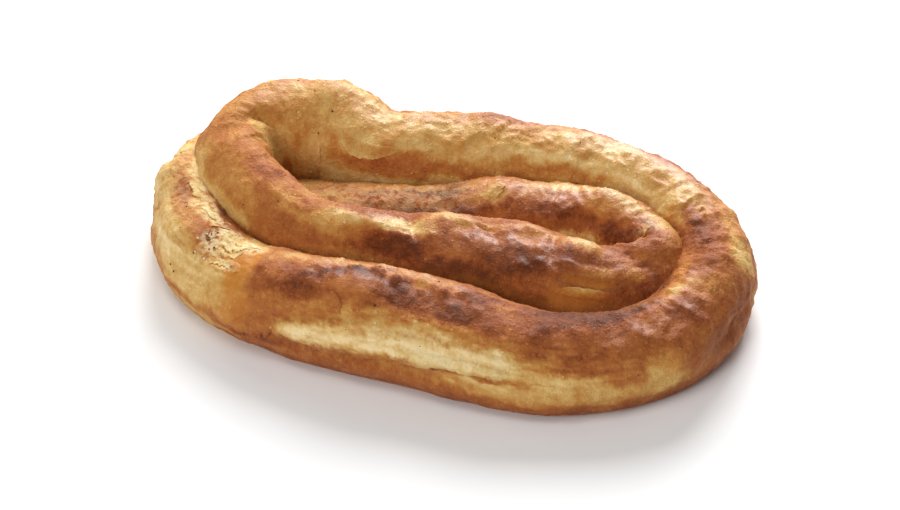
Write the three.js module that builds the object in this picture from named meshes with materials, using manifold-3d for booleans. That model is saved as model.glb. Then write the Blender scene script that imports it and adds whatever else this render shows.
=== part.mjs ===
// Twisted pastry: one long filled roll of thin layered dough, laid in a flat coil and baked into one piece.
// Millimetres, +Z up. The origin is the middle of the footprint, on the surface that the pastry rests on.

import * as THREE from 'three';
import Module from 'manifold-3d';

const wasm = await Module();
wasm.setup();

// Driving dimensions: how the roll is laid. Each waypoint is x, y, half the roll's width, and its height.
const waypoints = [
  // Thin pale tail, which the left turn later crosses.
  [-106, 46, 7, 14],
  [-113, 25, 10, 23],
  [-109, -9, 14, 29],
  [-84, -43, 17, 31],
  // Front roll, from left to right.
  [-44, -57, 19, 35],
  [6, -55, 22, 37],
  [64, -52, 19, 34],
  // Right turn.
  [100, -23, 18, 33],
  [102, 20, 17, 33],
  [70, 51, 16, 35],
  // Back roll, from right to left.
  [12, 55, 17, 37],
  [-40, 42, 17, 39],
  // Left turn, the highest part.
  [-68, 44, 17, 41],
  [-88, 36, 17, 43],
  [-97, 19, 16, 44],
  [-90, -2, 16, 43],
  [-69, -16, 16, 41],
  // Middle roll on the front side.
  [-38, -24, 16, 38],
  [24, -12, 18, 38],
  [67, -9, 19, 36],
  // Tight inner turn.
  [82, 15, 14, 34],
  [54, 28, 15, 34],
  // Middle roll on the back side, with its tucked end.
  [14, 22, 17, 31],
  [-24, 10, 17, 26],
  [-60, 4, 15, 21],
  [-84, 2, 11, 17],
];

// Driving dimensions: the roll's section, sagged flat where it lies on the surface.
const bellyShare = 0.42; // height of the widest line, of the roll's height
const sag = 1.25; // depth of the lower half before the surface cuts it flat, of the belly's height
const fullness = 0.92; // 1 is a plain ellipse, less is boxier
const bendLimit = 0.84; // most that the inner half width may be of a bend's radius
const widestGap = 18; // neighbouring stretches closer than this have swollen in the oven until they touch
const overlap = 1.2; // how far such a flank presses into its neighbour
const endRound = 11; // length over which each end of the roll rounds off
const endTrim = 1.2; // how far inside its very tip the first and last ring stand

// Driving dimensions: the faceting.
const ringSpacing = 4.2;
const sectionSides = 24;
const routeStep = 1; // distance between the stations that the route is worked out at
const bendWindow = 22; // length over which the bend of the route is averaged
const swellWindow = 24; // length over which the swelling towards a neighbour is averaged
const neighbourDistance = 60; // a station this much further along counts as another stretch
const sideSearch = 2; // a station is beside another if it is within this distance of its cross line
const footFade = 25; // degrees above the foot over which the relief grows to its full height
const lowestPoint = 0.2; // height of the lowest points beside the foot

// The roll is made in stretches that never meet themselves. Each one starts where the last one ends.
const stretchEnds = [303, 579, 765];

// Relief that can be felt by hand. Along is measured from the tail's tip. Around is in degrees, from the
// side that faces the coil's middle, over the crest at 90, to the outer side at 180. Lean is how far a
// feature shifts along the roll for each millimetre around it. A negative rise is a hollow.
const tailRelief = [
  { along: 46, around: 120, length: 9, width: 16, rise: -2.4, lean: 0 }, // notch where the outer sheet is torn
  { along: 56, around: 100, length: 22, width: 18, rise: 1.8, lean: 0 }, // edge of the torn sheet
  { along: 92, around: 120, length: 34, width: 28, rise: 1.8, lean: 0 },
  { along: 116, around: 96, length: 12, width: 26, rise: -1.8, lean: 0.5 }, // crack before the browned part
];

const frontRelief = [
  { along: 130, around: 176, length: 22, width: 14, rise: 2.6, lean: -0.3 }, // tip of the loose flap
  { along: 166, around: 96, length: 40, width: 22, rise: 1.8, lean: 0 }, // dark ridge
  { along: 166, around: 160, length: 42, width: 18, rise: 1.4, lean: 0 }, // pale leaf under the flap
  { along: 176, around: 122, length: 30, width: 22, rise: 1.8, lean: 0.2 },
  { along: 188, around: 179, length: 92, width: 8, rise: -2.6, lean: 0 }, // fold low on the side
  { along: 215, around: 148, length: 50, width: 18, rise: 1.6, lean: 0 },
];

const rightTurnRelief = [
  { along: 264, around: 96, length: 26, width: 28, rise: 1.4, lean: 0.3 },
  { along: 293, around: 150, length: 34, width: 24, rise: 1.6, lean: 0 },
  { along: 316, around: 166, length: 34, width: 9, rise: -2.4, lean: 0 }, // fold on the outer side
  { along: 326, around: 100, length: 24, width: 22, rise: 1.8, lean: 0 },
];

const backRelief = [
  { along: 366, around: 70, length: 22, width: 26, rise: 1.8, lean: 0.3 },
  { along: 402, around: 80, length: 26, width: 30, rise: 1.6, lean: 0.4 },
  { along: 428, around: 60, length: 18, width: 16, rise: 1.6, lean: 0 },
  { along: 462, around: 108, length: 30, width: 26, rise: 2.6, lean: 0 }, // hump
  { along: 504, around: 92, length: 20, width: 40, rise: -2.4, lean: 0 }, // waist
];

const leftTurnRelief = [
  { along: 518, around: 10, length: 40, width: 20, rise: -2.2, lean: 0 },
  { along: 528, around: 92, length: 34, width: 34, rise: 2.6, lean: 0 }, // shoulder
  { along: 568, around: 62, length: 18, width: 32, rise: -4.2, lean: 0.8 }, // fold at the turn
  { along: 583, around: 100, length: 9, width: 20, rise: -1.4, lean: 0.3 },
  { along: 608, around: 80, length: 40, width: 30, rise: 1.6, lean: 0 },
];

const middleFrontRelief = [
  { along: 664, around: 96, length: 20, width: 24, rise: 2.4, lean: 0.3 },
  { along: 665, around: 138, length: 34, width: 20, rise: -3.2, lean: -0.3 }, // arched hollow
  { along: 681, around: 92, length: 9, width: 30, rise: -2.2, lean: 0.3 }, // step before the next hump
  { along: 696, around: 76, length: 24, width: 24, rise: 2.8, lean: 0.3 },
  { along: 712, around: 84, length: 10, width: 26, rise: -2, lean: 0.4 },
  { along: 725, around: 70, length: 22, width: 20, rise: 1.8, lean: 0.4 },
  { along: 737, around: 92, length: 10, width: 26, rise: -1.6, lean: 0.4 },
  { along: 749, around: 82, length: 22, width: 22, rise: 2.4, lean: 0.4 },
  { along: 752, around: 148, length: 26, width: 13, rise: -2.4, lean: 0 }, // burst blister
];

const innerRelief = [
  { along: 770, around: 92, length: 8, width: 34, rise: -3, lean: 0.2 }, // crease of the tight turn
  { along: 783, around: 96, length: 16, width: 24, rise: 2.2, lean: 0 },
  { along: 821, around: 92, length: 30, width: 20, rise: 1.8, lean: 0.3 },
  { along: 863, around: 88, length: 26, width: 20, rise: 1.6, lean: 0.3 },
  { along: 901, around: 84, length: 24, width: 18, rise: 1.4, lean: 0 },
];

// Rows of like features: blisters on the front roll, and the pleats of the right turn.
const blisters = { from: 152, to: 204, pitch: 8.6, around: 74, zigzag: 9, size: 8.5, rise: 1.5 };
const pleats = { from: 270, to: 360, pitch: 9.5, around: 98, length: 6, width: 34, rise: 1.0, lean: 0.25 };
const pleatScatter = { along: 7, around: 34, rise: 1.6, seed: 5 }; // full spread of each random draw

// Unevenness of hand-rolled dough: lumps of a long and a short size, drawn out a little by twisting the roll.
const lumps = [
  { rise: 2.6, size: 31, lean: 0.3, seed: 3 },
  { rise: 2.0, size: 13, lean: 0.6, seed: 8 },
];

const crustColour = 0xc58a48;
const crustRoughness = 0.48;

const degree = Math.PI / 180;

// Smooth seeded noise from -0.5 to 0.5 over a square grid of cells.
function cellValue(column, row, seed) {
  const value = Math.sin(column * 127.1 + row * 311.7 + seed * 74.7) * 43758.5453;
  return value - Math.floor(value) - 0.5;
}

function smoothNoise(x, y, seed) {
  const column = Math.floor(x);
  const row = Math.floor(y);
  const u = THREE.MathUtils.smoothstep(x - column, 0, 1);
  const v = THREE.MathUtils.smoothstep(y - row, 0, 1);
  const near = THREE.MathUtils.lerp(cellValue(column, row, seed), cellValue(column + 1, row, seed), u);
  const far = THREE.MathUtils.lerp(cellValue(column, row + 1, seed), cellValue(column + 1, row + 1, seed), u);
  return THREE.MathUtils.lerp(near, far, v);
}

function rowOfBlisters() {
  const row = [];
  for (let along = blisters.from; along <= blisters.to; along += blisters.pitch) {
    const side = row.length % 2 === 0 ? 1 : -1;
    const around = blisters.around + side * blisters.zigzag;
    row.push({ along, around, length: blisters.size, width: blisters.size, rise: blisters.rise, lean: 0 });
  }
  return row;
}

function rowOfPleats() {
  const row = [];
  for (let along = pleats.from; along <= pleats.to; along += pleats.pitch) {
    const [first, second, third] = [1, 2, 3].map((draw) => cellValue(row.length, draw, pleatScatter.seed));
    row.push({
      ...pleats,
      along: along + first * pleatScatter.along,
      around: pleats.around + second * pleatScatter.around,
      rise: pleats.rise + third * pleatScatter.rise,
    });
  }
  return row;
}

const features = [
  ...tailRelief,
  ...frontRelief,
  ...rightTurnRelief,
  ...backRelief,
  ...leftTurnRelief,
  ...middleFrontRelief,
  ...innerRelief,
  ...rowOfBlisters(),
  ...rowOfPleats(),
];

// The route: stations at even distances along a smooth curve through the waypoints.
function curveThrough(points) {
  const curve = new THREE.CatmullRomCurve3(points, false, 'catmullrom', 0.5);
  curve.arcLengthDivisions = 4000;
  return curve;
}

// The inner side of a bend is squeezed, so that the roll never folds through itself.
function squeezed(across, bend) {
  const crowding = Math.max(across * bend, 0) / bendLimit;
  return across / (1 + crowding ** 4) ** 0.25;
}

function headingsAlong(ground, count) {
  const headings = [];
  for (let i = 0; i <= count; i += 1) {
    const tangent = ground.getTangent(ground.getUtoTmapping(i / count));
    const heading = Math.atan2(tangent.y, tangent.x);
    const last = headings.length ? headings[headings.length - 1] : heading;
    headings.push(last + Math.atan2(Math.sin(heading - last), Math.cos(heading - last)));
  }
  return headings;
}

// How far a station's flank has to swell, on one side, to meet the stretch of the roll that lies beside it.
function flankSwell(station, side, stations) {
  const inward = new THREE.Vector3(-Math.sin(station.heading), Math.cos(station.heading), 0);
  const sideways = inward.multiplyScalar(side);
  const forward = new THREE.Vector3(Math.cos(station.heading), Math.sin(station.heading), 0);
  const ownReach = squeezed(station.halfWidth, side * station.bend);
  let gap = Infinity;
  for (const other of stations) {
    const way = other.centre.clone().sub(station.centre);
    const distance = way.dot(sideways);
    const isBeside = Math.abs(way.dot(forward)) < sideSearch && distance > ownReach;
    if (isBeside && Math.abs(other.along - station.along) > neighbourDistance) {
      gap = Math.min(gap, distance - ownReach - other.halfWidth);
    }
  }
  return gap < widestGap ? Math.max(gap / 2, 0) + overlap : 0;
}

function makeRoute() {
  const ground = curveThrough(waypoints.map(([x, y]) => new THREE.Vector3(x, y, 0)));
  const girth = curveThrough(
    waypoints.map(([, , halfWidth, height]) => new THREE.Vector3(halfWidth, height, 0)),
  );
  const length = ground.getLength();
  const count = Math.round(length / routeStep);
  const step = length / count;
  const headings = headingsAlong(ground, count);
  const stations = headings.map((heading, i) => {
    const t = ground.getUtoTmapping(i / count);
    const size = girth.getPoint(t);
    const before = Math.max(i - Math.round(bendWindow / 2 / step), 0);
    const after = Math.min(i + Math.round(bendWindow / 2 / step), count);
    return {
      along: i * step,
      centre: ground.getPoint(t),
      heading,
      bend: (headings[after] - headings[before]) / ((after - before) * step),
      halfWidth: size.x,
      height: size.y,
    };
  });
  for (const station of stations) {
    station.innerSwell = flankSwell(station, 1, stations);
    station.outerSwell = flankSwell(station, -1, stations);
  }
  const averaged = (name, i) => {
    const reach = Math.round(swellWindow / 2 / step);
    const near = stations.slice(Math.max(i - reach, 0), i + reach + 1);
    return near.reduce((sum, station) => sum + station[name], 0) / near.length;
  };
  const smooth = stations.map((station, i) => ({
    ...station,
    innerSwell: averaged('innerSwell', i),
    outerSwell: averaged('outerSwell', i),
  }));
  const stationAt = (along) => {
    const place = THREE.MathUtils.clamp(along / step, 0, count);
    const low = Math.min(Math.floor(place), count - 1);
    const [here, next] = [smooth[low], smooth[low + 1]];
    const mixed = { centre: here.centre.clone().lerp(next.centre, place - low) };
    for (const name of ['heading', 'bend', 'halfWidth', 'height', 'innerSwell', 'outerSwell']) {
      mixed[name] = THREE.MathUtils.lerp(here[name], next[name], place - low);
    }
    return mixed;
  };
  return { length, stationAt };
}

const route = makeRoute();

// Height of the relief above the plain roll.
function smoothHill(distance) {
  return Math.exp(-2 * distance * distance);
}

function relief(along, aroundDegrees, girthRadius) {
  let rise = 0;
  for (const feature of features) {
    const across = (aroundDegrees - feature.around) * degree * girthRadius;
    const shift = along - feature.along - feature.lean * across;
    const distance = Math.hypot(shift / (feature.length / 2), across / (feature.width / 2));
    rise += feature.rise * smoothHill(distance);
  }
  for (const lump of lumps) {
    const height = aroundDegrees * degree * girthRadius;
    rise += lump.rise * smoothNoise((along + lump.lean * height) / lump.size, height / lump.size, lump.seed);
  }
  return rise;
}

// One ring of the roll. Its foot is the flat stretch between its last point and its first.
const footAngle = Math.asin((1 / sag) ** (1 / fullness)) / degree;

function ringAt(along) {
  const station = route.stationAt(along);
  const fromEnd = Math.min(along, route.length - along);
  const rounding = fromEnd < endRound ? Math.sqrt(1 - (1 - fromEnd / endRound) ** 2) : 1;
  const halfWidth = station.halfWidth * rounding;
  const height = station.height * rounding;
  const girthRadius = (halfWidth + height / 2) / 2;
  const inward = new THREE.Vector3(-Math.sin(station.heading), Math.cos(station.heading), 0);
  const ring = [];
  for (let side = 0; side < sectionSides; side += 1) {
    const around = -footAngle + (side / (sectionSides - 1)) * (180 + 2 * footAngle);
    const cosine = Math.cos(around * degree);
    const sine = Math.sin(around * degree);
    const fromFoot = Math.min(around + footAngle, 180 + footAngle - around);
    const room = 1 - Math.max(halfWidth * station.bend * cosine, 0);
    const fade = THREE.MathUtils.smoothstep(fromFoot, 0, footFade) * Math.max(room, 0);
    const rise = relief(along, around, girthRadius) * fade;
    const swell = (cosine > 0 ? station.innerSwell : station.outerSwell) * rounding;
    const flank = halfWidth * Math.abs(cosine) ** fullness + swell * Math.abs(cosine) ** 3;
    const across = squeezed(Math.sign(cosine) * flank + rise * cosine, station.bend);
    const crown = sine >= 0 ? (1 - bellyShare) * height : bellyShare * height * sag;
    const up = crown * Math.sign(sine) * Math.abs(sine) ** fullness + rise * sine;
    const isFoot = side === 0 || side === sectionSides - 1;
    const z = isFoot ? 0 : Math.max(bellyShare * height + up, lowestPoint);
    ring.push(station.centre.clone().addScaledVector(inward, across).setZ(z));
  }
  return ring;
}

// A closed stretch of the roll, from one distance along the route to another.
function makeStretch(from, to) {
  const steps = Math.max(1, Math.round((to - from) / ringSpacing));
  const points = [];
  const triangles = [];
  for (let step = 0; step <= steps; step += 1) {
    points.push(...ringAt(THREE.MathUtils.lerp(from, to, step / steps)));
  }
  for (let step = 0; step < steps; step += 1) {
    for (let side = 0; side < sectionSides; side += 1) {
      const next = (side + 1) % sectionSides;
      const a = step * sectionSides + side;
      const b = step * sectionSides + next;
      const c = a + sectionSides;
      const d = b + sectionSides;
      triangles.push(a, b, c, b, d, c);
    }
  }
  for (const [step, facesForward] of [[0, false], [steps, true]]) {
    const first = step * sectionSides;
    const middle = new THREE.Vector3();
    for (let side = 0; side < sectionSides; side += 1) {
      middle.add(points[first + side]);
    }
    const centre = points.push(middle.divideScalar(sectionSides)) - 1;
    for (let side = 0; side < sectionSides; side += 1) {
      const a = first + side;
      const b = first + ((side + 1) % sectionSides);
      triangles.push(...(facesForward ? [centre, a, b] : [centre, b, a]));
    }
  }
  const vertProperties = new Float32Array(points.flatMap((point) => point.toArray()));
  const triVerts = new Uint32Array(triangles);
  return new wasm.Manifold(new wasm.Mesh({ numProp: 3, vertProperties, triVerts }));
}

// The outer skin alone: what fusing seals inside is filled, and a loose scrap is dropped.
function outerSkin({ vertProperties, triVerts }) {
  const root = Array.from({ length: vertProperties.length / 3 }, (_, index) => index);
  const find = (index) => {
    let top = index;
    while (root[top] !== top) {
      root[top] = root[root[top]];
      top = root[top];
    }
    return top;
  };
  for (let i = 0; i < triVerts.length; i += 3) {
    root[find(triVerts[i + 1])] = find(triVerts[i]);
    root[find(triVerts[i + 2])] = find(triVerts[i]);
  }
  const corner = (index) => new THREE.Vector3().fromArray(vertProperties, 3 * index);
  const shells = new Map();
  for (let i = 0; i < triVerts.length; i += 3) {
    const name = find(triVerts[i]);
    const shell = shells.get(name) ?? { volume: 0, triangles: [] };
    const [a, b, c] = [0, 1, 2].map((k) => corner(triVerts[i + k]));
    shell.volume += a.dot(b.cross(c)) / 6;
    shell.triangles.push(triVerts[i], triVerts[i + 1], triVerts[i + 2]);
    shells.set(name, shell);
  }
  return [...shells.values()].sort((one, other) => other.volume - one.volume)[0].triangles;
}

function makePastry() {
  const ends = [endTrim, ...stretchEnds, route.length - endTrim];
  let solid = makeStretch(ends[0], ends[1]);
  for (let i = 1; i < ends.length - 1; i += 1) {
    solid = solid.add(makeStretch(ends[i], ends[i + 1]));
  }
  const joined = solid.getMesh();
  const geometry = new THREE.BufferGeometry();
  geometry.setAttribute('position', new THREE.BufferAttribute(new Float32Array(joined.vertProperties), 3));
  geometry.setIndex(outerSkin(joined));
  geometry.computeVertexNormals();
  const crust = new THREE.MeshStandardMaterial({
    color: crustColour,
    roughness: crustRoughness,
    metalness: 0,
  });
  const pastry = new THREE.Mesh(geometry, crust);
  pastry.name = 'twisted_pastry';
  geometry.computeBoundingBox();
  const middle = geometry.boundingBox.getCenter(new THREE.Vector3());
  pastry.position.set(-middle.x, -middle.y, -geometry.boundingBox.min.z);
  return pastry;
}

const model = new THREE.Group();
model.add(makePastry());

export default model;
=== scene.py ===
import math

import bpy
import numpy as np
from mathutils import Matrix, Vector
from mathutils.bvhtree import BVHTree
from mathutils.kdtree import KDTree


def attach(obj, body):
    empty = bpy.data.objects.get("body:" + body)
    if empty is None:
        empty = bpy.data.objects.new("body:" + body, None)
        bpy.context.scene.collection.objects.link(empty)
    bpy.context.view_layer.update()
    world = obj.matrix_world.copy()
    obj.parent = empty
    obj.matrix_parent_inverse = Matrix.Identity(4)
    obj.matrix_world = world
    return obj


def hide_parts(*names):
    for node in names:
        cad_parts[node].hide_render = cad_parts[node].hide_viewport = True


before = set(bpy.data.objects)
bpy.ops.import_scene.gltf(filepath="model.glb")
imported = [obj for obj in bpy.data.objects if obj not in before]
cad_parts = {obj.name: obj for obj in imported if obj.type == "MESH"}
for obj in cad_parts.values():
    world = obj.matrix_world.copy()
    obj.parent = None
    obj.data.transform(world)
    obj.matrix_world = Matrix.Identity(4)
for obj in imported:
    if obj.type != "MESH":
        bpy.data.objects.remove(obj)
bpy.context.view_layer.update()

scene = bpy.context.scene
mm = 0.001
degree = math.pi / 180

cameraView = {
    "lens": 150.36,  # mm on a 36 mm wide sensor
    "elevation": 38.92,
    "azimuth": 21.69,  # how far the camera stands to the right of the front
    "distance": 1.4854,
    "aim": (0.00144, 0.00152, 0.01138),
}


def addObject(name, data):
    thing = bpy.data.objects.new(name, data)
    scene.collection.objects.link(thing)
    return thing


def directionAt(azimuth, elevation):  # from the pastry towards a camera or light, as a unit vector
    turn, up = azimuth * degree, elevation * degree
    return Vector((math.sin(turn) * math.cos(up), -math.cos(turn) * math.cos(up), math.sin(up)))


def placeCamera(view):
    back = directionAt(view["azimuth"], view["elevation"])
    data = bpy.data.cameras.new("photoCamera")
    data.lens = view["lens"]
    data.sensor_width = 36
    data.clip_start = 0.05
    data.clip_end = 20
    camera = addObject("photoCamera", data)
    camera.location = Vector(view["aim"]) + back * view["distance"]
    camera.rotation_euler = back.to_track_quat("Z", "Y").to_euler()
    scene.camera = camera


placeCamera(cameraView)

# The roll, as it is laid.
roll = {
    "waypoints": [  # x, y, half width and height in mm, from the pale tail to the tucked end
        (-106, 46, 7, 14), (-113, 25, 10, 23), (-109, -9, 14, 29), (-84, -43, 17, 31),
        (-44, -57, 19, 35), (6, -55, 22, 37), (64, -52, 19, 34),
        (100, -23, 18, 33), (102, 20, 17, 33), (70, 51, 16, 35),
        (12, 55, 17, 37), (-40, 42, 17, 39),
        (-68, 44, 17, 41), (-88, 36, 17, 43), (-97, 19, 16, 44), (-90, -2, 16, 43), (-69, -16, 16, 41),
        (-38, -24, 16, 38), (24, -12, 18, 38), (67, -9, 19, 36),
        (82, 15, 14, 34), (54, 28, 15, 34),
        (14, 22, 17, 31), (-24, 10, 17, 26), (-60, 4, 15, 21), (-84, 2, 11, 17),
    ],
    "footprintMiddle": (-0.834, -2.818),  # of the laid roll, in mm
    "bellyShare": 0.42,  # height of the widest line, of the roll's height
    "sag": 1.25,  # depth of the lower half before the surface cuts it flat, of the belly's height
    "fullness": 0.92,  # 1 is a plain ellipse, less is boxier
    "bendLimit": 0.84,  # most that the inner half width may be of a bend's radius
    "widestGap": 18,  # stretches closer than this have swollen until they touch
    "overlap": 1.2,  # how far such a flank presses into its neighbour
    "endRound": 11,
    "endTrim": 1.2,
    "bendWindow": 22,
    "swellWindow": 24,
    "neighbourDistance": 60,  # a place this much further along is on another stretch
    "sideSearch": 2,
    "routeSamples": 8001,
    "footFade": 25,  # degrees above the foot over which the relief grows
    "lowestPoint": 0.2,
    "stretchEnds": (303, 579, 765),  # where one stretch of the roll ends and the next begins
    "ringSpacing": 0.96,  # of the finished crust, in mm
    "sides": 100,
}

# Relief that the solid has too: along and around, length and width, rise in mm, and lean.
# Around is 0 on the side that faces the coil's middle, 90 on the crest and 180 on the outer side.
largeRelief = {
    "tail": [
        (46, 120, 9, 16, -2.4, 0), (56, 100, 22, 18, 1.8, 0), (92, 120, 34, 28, 1.8, 0),
        (116, 96, 12, 26, -1.8, 0.5),
    ],
    "front": [
        (130, 176, 22, 14, 2.6, -0.3), (166, 96, 40, 22, 1.8, 0), (166, 160, 42, 18, 1.4, 0),
        (176, 122, 30, 22, 1.8, 0.2), (188, 179, 92, 8, -2.6, 0), (215, 148, 50, 18, 1.6, 0),
    ],
    "rightTurn": [
        (264, 96, 26, 28, 1.4, 0.3), (293, 150, 34, 24, 1.6, 0), (316, 166, 34, 9, -2.4, 0),
        (326, 100, 24, 22, 1.8, 0),
    ],
    "back": [
        (366, 70, 22, 26, 1.8, 0.3), (402, 80, 26, 30, 1.6, 0.4), (428, 60, 18, 16, 1.6, 0),
        (462, 108, 30, 26, 2.6, 0), (504, 92, 20, 40, -2.4, 0),
    ],
    "leftTurn": [
        (518, 10, 40, 20, -2.2, 0), (528, 92, 34, 34, 2.6, 0), (568, 62, 18, 32, -4.2, 0.8),
        (583, 100, 9, 20, -1.4, 0.3), (608, 80, 40, 30, 1.6, 0),
    ],
    "middleFront": [
        (664, 96, 20, 24, 2.4, 0.3), (665, 138, 34, 20, -3.2, -0.3), (681, 92, 9, 30, -2.2, 0.3),
        (696, 76, 24, 24, 2.8, 0.3), (712, 84, 10, 26, -2, 0.4), (725, 70, 22, 20, 1.8, 0.4),
        (737, 92, 10, 26, -1.6, 0.4), (749, 82, 22, 22, 2.4, 0.4), (752, 148, 26, 13, -2.4, 0),
    ],
    "inner": [
        (770, 92, 8, 34, -3, 0.2), (783, 96, 16, 24, 2.2, 0), (821, 92, 30, 20, 1.8, 0.3),
        (863, 88, 26, 20, 1.6, 0.3), (901, 84, 24, 18, 1.4, 0),
    ],
}
blisterRow = {"from": 152, "to": 204, "pitch": 8.6, "around": 74, "zigzag": 9, "size": 8.5, "rise": 1.5}
pleatRow = {
    "from": 270, "to": 360, "pitch": 9.5, "around": 98, "length": 6, "width": 34, "rise": 1.0, "lean": 0.25,
    "alongScatter": 7, "aroundScatter": 34, "riseScatter": 1.6, "seed": 5,
}
lumps = [  # rise, size, lean and seed of the broad unevenness
    (2.6, 31, 0.3, 3), (2.0, 13, 0.6, 8),
]


def smoothStep(low, high, value):
    share = np.clip((value - low) / (high - low), 0, 1)
    return share * share * (3 - 2 * share)


def cellValue(column, row, seed):
    value = np.sin(column * 127.1 + row * 311.7 + seed * 74.7) * 43758.5453
    return value - np.floor(value) - 0.5


def smoothNoise(x, y, seed):
    column, row = np.floor(x), np.floor(y)
    u, v = smoothStep(0, 1, x - column), smoothStep(0, 1, y - row)
    near = cellValue(column, row, seed) * (1 - u) + cellValue(column + 1, row, seed) * u
    far = cellValue(column, row + 1, seed) * (1 - u) + cellValue(column + 1, row + 1, seed) * u
    return near * (1 - v) + far * v


def layeredNoise(x, y, seed, octaves=4, gain=0.55):
    total, weight = 0, 1
    for octave in range(octaves):
        total = total + weight * smoothNoise(x * 2**octave, y * 2**octave, seed + 17 * octave)
        weight *= gain
    return total


def catmullRom(points, t):
    points = np.asarray(points, float)
    last = len(points) - 1
    padded = np.vstack([2 * points[0] - points[1], points, 2 * points[-1] - points[-2]])
    place = np.clip(t, 0, 1) * last
    low = np.minimum(np.floor(place).astype(int), last - 1)
    w = (place - low)[:, None]
    p0, p1, p2, p3 = (padded[low + k] for k in range(4))
    v0, v1 = (p2 - p0) / 2, (p3 - p1) / 2
    return (2 * p1 - 2 * p2 + v0 + v1) * w**3 + (-3 * p1 + 3 * p2 - 2 * v0 - v1) * w**2 + v0 * w + p1


def squeezed(across, bend):
    crowding = np.maximum(across * bend, 0) / roll["bendLimit"]
    return across / (1 + crowding**4) ** 0.25


def makeRoute():
    ways = np.array(roll["waypoints"], float)
    t = np.linspace(0, 1, roll["routeSamples"])
    line = catmullRom(ways[:, :2], t)
    lengths = np.concatenate([[0], np.cumsum(np.linalg.norm(np.diff(line, axis=0), axis=1))])
    length = lengths[-1]
    count = round(length)
    along = np.linspace(0, length, count + 1)
    tAt = np.interp(along, lengths, t)
    centre = catmullRom(ways[:, :2], tAt)
    ahead = catmullRom(ways[:, :2], np.minimum(tAt + 1e-4, 1))
    ahead -= catmullRom(ways[:, :2], np.maximum(tAt - 1e-4, 0))
    heading = np.unwrap(np.arctan2(ahead[:, 1], ahead[:, 0]))
    girth = catmullRom(ways[:, 2:], tAt)
    step = length / count
    reach = round(roll["bendWindow"] / 2 / step)
    index = np.arange(count + 1)
    before, after = np.maximum(index - reach, 0), np.minimum(index + reach, count)
    bend = (heading[after] - heading[before]) / ((after - before) * step)
    inward = np.stack([-np.sin(heading), np.cos(heading)], axis=1)
    forward = np.stack([np.cos(heading), np.sin(heading)], axis=1)
    way = centre[None] - centre[:, None]
    beside = np.abs(np.einsum("ijk,ik->ij", way, forward)) < roll["sideSearch"]
    beside &= np.abs(along[None] - along[:, None]) > roll["neighbourDistance"]
    swells = []
    for side in (1, -1):
        ownReach = squeezed(girth[:, 0], side * bend)
        distance = side * np.einsum("ijk,ik->ij", way, inward)
        gap = distance - ownReach[:, None] - girth[None, :, 0]
        gap = np.where(beside & (distance > ownReach[:, None]), gap, np.inf).min(axis=1)
        swell = np.where(gap < roll["widestGap"], np.maximum(gap / 2, 0) + roll["overlap"], 0)
        window = round(roll["swellWindow"] / 2 / step)
        swells.append(np.array([swell[max(i - window, 0):i + window + 1].mean() for i in index]))
    return {
        "length": length, "along": along, "x": centre[:, 0], "y": centre[:, 1],
        "heading": heading, "bend": bend, "halfWidth": girth[:, 0], "height": girth[:, 1],
        "innerSwell": swells[0], "outerSwell": swells[1],
    }


route = makeRoute()


def hill(place, row):
    along, around, length, width, rise, lean = row
    across = (place["around"] - around) * degree * place["girth"]
    shift = place["along"] - along - lean * across
    return rise * np.exp(-2 * ((shift / (length / 2)) ** 2 + (across / (width / 2)) ** 2))


def largeHills():
    rows = [row for stretch in largeRelief.values() for row in stretch]
    count = int((blisterRow["to"] - blisterRow["from"]) / blisterRow["pitch"]) + 1
    for i in range(count):
        around = blisterRow["around"] + (1 if i % 2 == 0 else -1) * blisterRow["zigzag"]
        along = blisterRow["from"] + i * blisterRow["pitch"]
        rows.append((along, around, blisterRow["size"], blisterRow["size"], blisterRow["rise"], 0))
    count = int((pleatRow["to"] - pleatRow["from"]) / pleatRow["pitch"]) + 1
    for i in range(count):
        draws = [cellValue(i, draw, pleatRow["seed"]) for draw in (1, 2, 3)]
        rows.append((
            pleatRow["from"] + i * pleatRow["pitch"] + draws[0] * pleatRow["alongScatter"],
            pleatRow["around"] + draws[1] * pleatRow["aroundScatter"],
            pleatRow["length"], pleatRow["width"],
            pleatRow["rise"] + draws[2] * pleatRow["riseScatter"], pleatRow["lean"],
        ))
    return rows


def polyline(place, line):  # signed distance in mm from a line on the roll, and how far along it
    lineAlong = np.array([p[0] for p in line], float)
    lineGirth = np.interp(lineAlong, route["along"], girthRadius)
    lineAcross = np.array([p[1] for p in line], float) * degree * lineGirth
    size, seed = fineRelief["lineWander"]
    a, h = place["along"], place["across"]
    a = a + layeredNoise(a / size, h / size, seed, 3)
    h = h + layeredNoise(a / size, h / size, seed + 50, 3)
    best = np.full(a.shape, 1e9)
    signed = np.zeros(a.shape)
    run = np.zeros(a.shape)
    done = 0
    lengths = np.hypot(np.diff(lineAlong), np.diff(lineAcross))
    for i, length in enumerate(lengths):
        ux, uy = (lineAlong[i + 1] - lineAlong[i]) / length, (lineAcross[i + 1] - lineAcross[i]) / length
        dx, dy = a - lineAlong[i], h - lineAcross[i]
        t = np.clip(dx * ux + dy * uy, 0, length)
        distance = np.hypot(dx - t * ux, dy - t * uy)
        side = np.where(ux * dy - uy * dx >= 0, 1, -1)
        nearer = distance < best
        best = np.where(nearer, distance, best)
        signed = np.where(nearer, distance * side, signed)
        run = np.where(nearer, done + t, run)
        done += length
    return signed, run, lengths.sum()


def nearLine(place, line, reach):  # the part of the surface that a line can touch
    alongs = [p[0] for p in line]
    arounds = [p[1] for p in line]
    near = (place["along"] > min(alongs) - reach) & (place["along"] < max(alongs) + reach)
    degrees = reach / fineRelief["leastMmPerDegree"]
    near &= (place["around"] > min(arounds) - degrees) & (place["around"] < max(arounds) + degrees)
    return near


def only(place, mask):
    return {name: values[mask] for name, values in place.items()}


girthRadius = (route["halfWidth"] + route["height"] / 2) / 2

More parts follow.
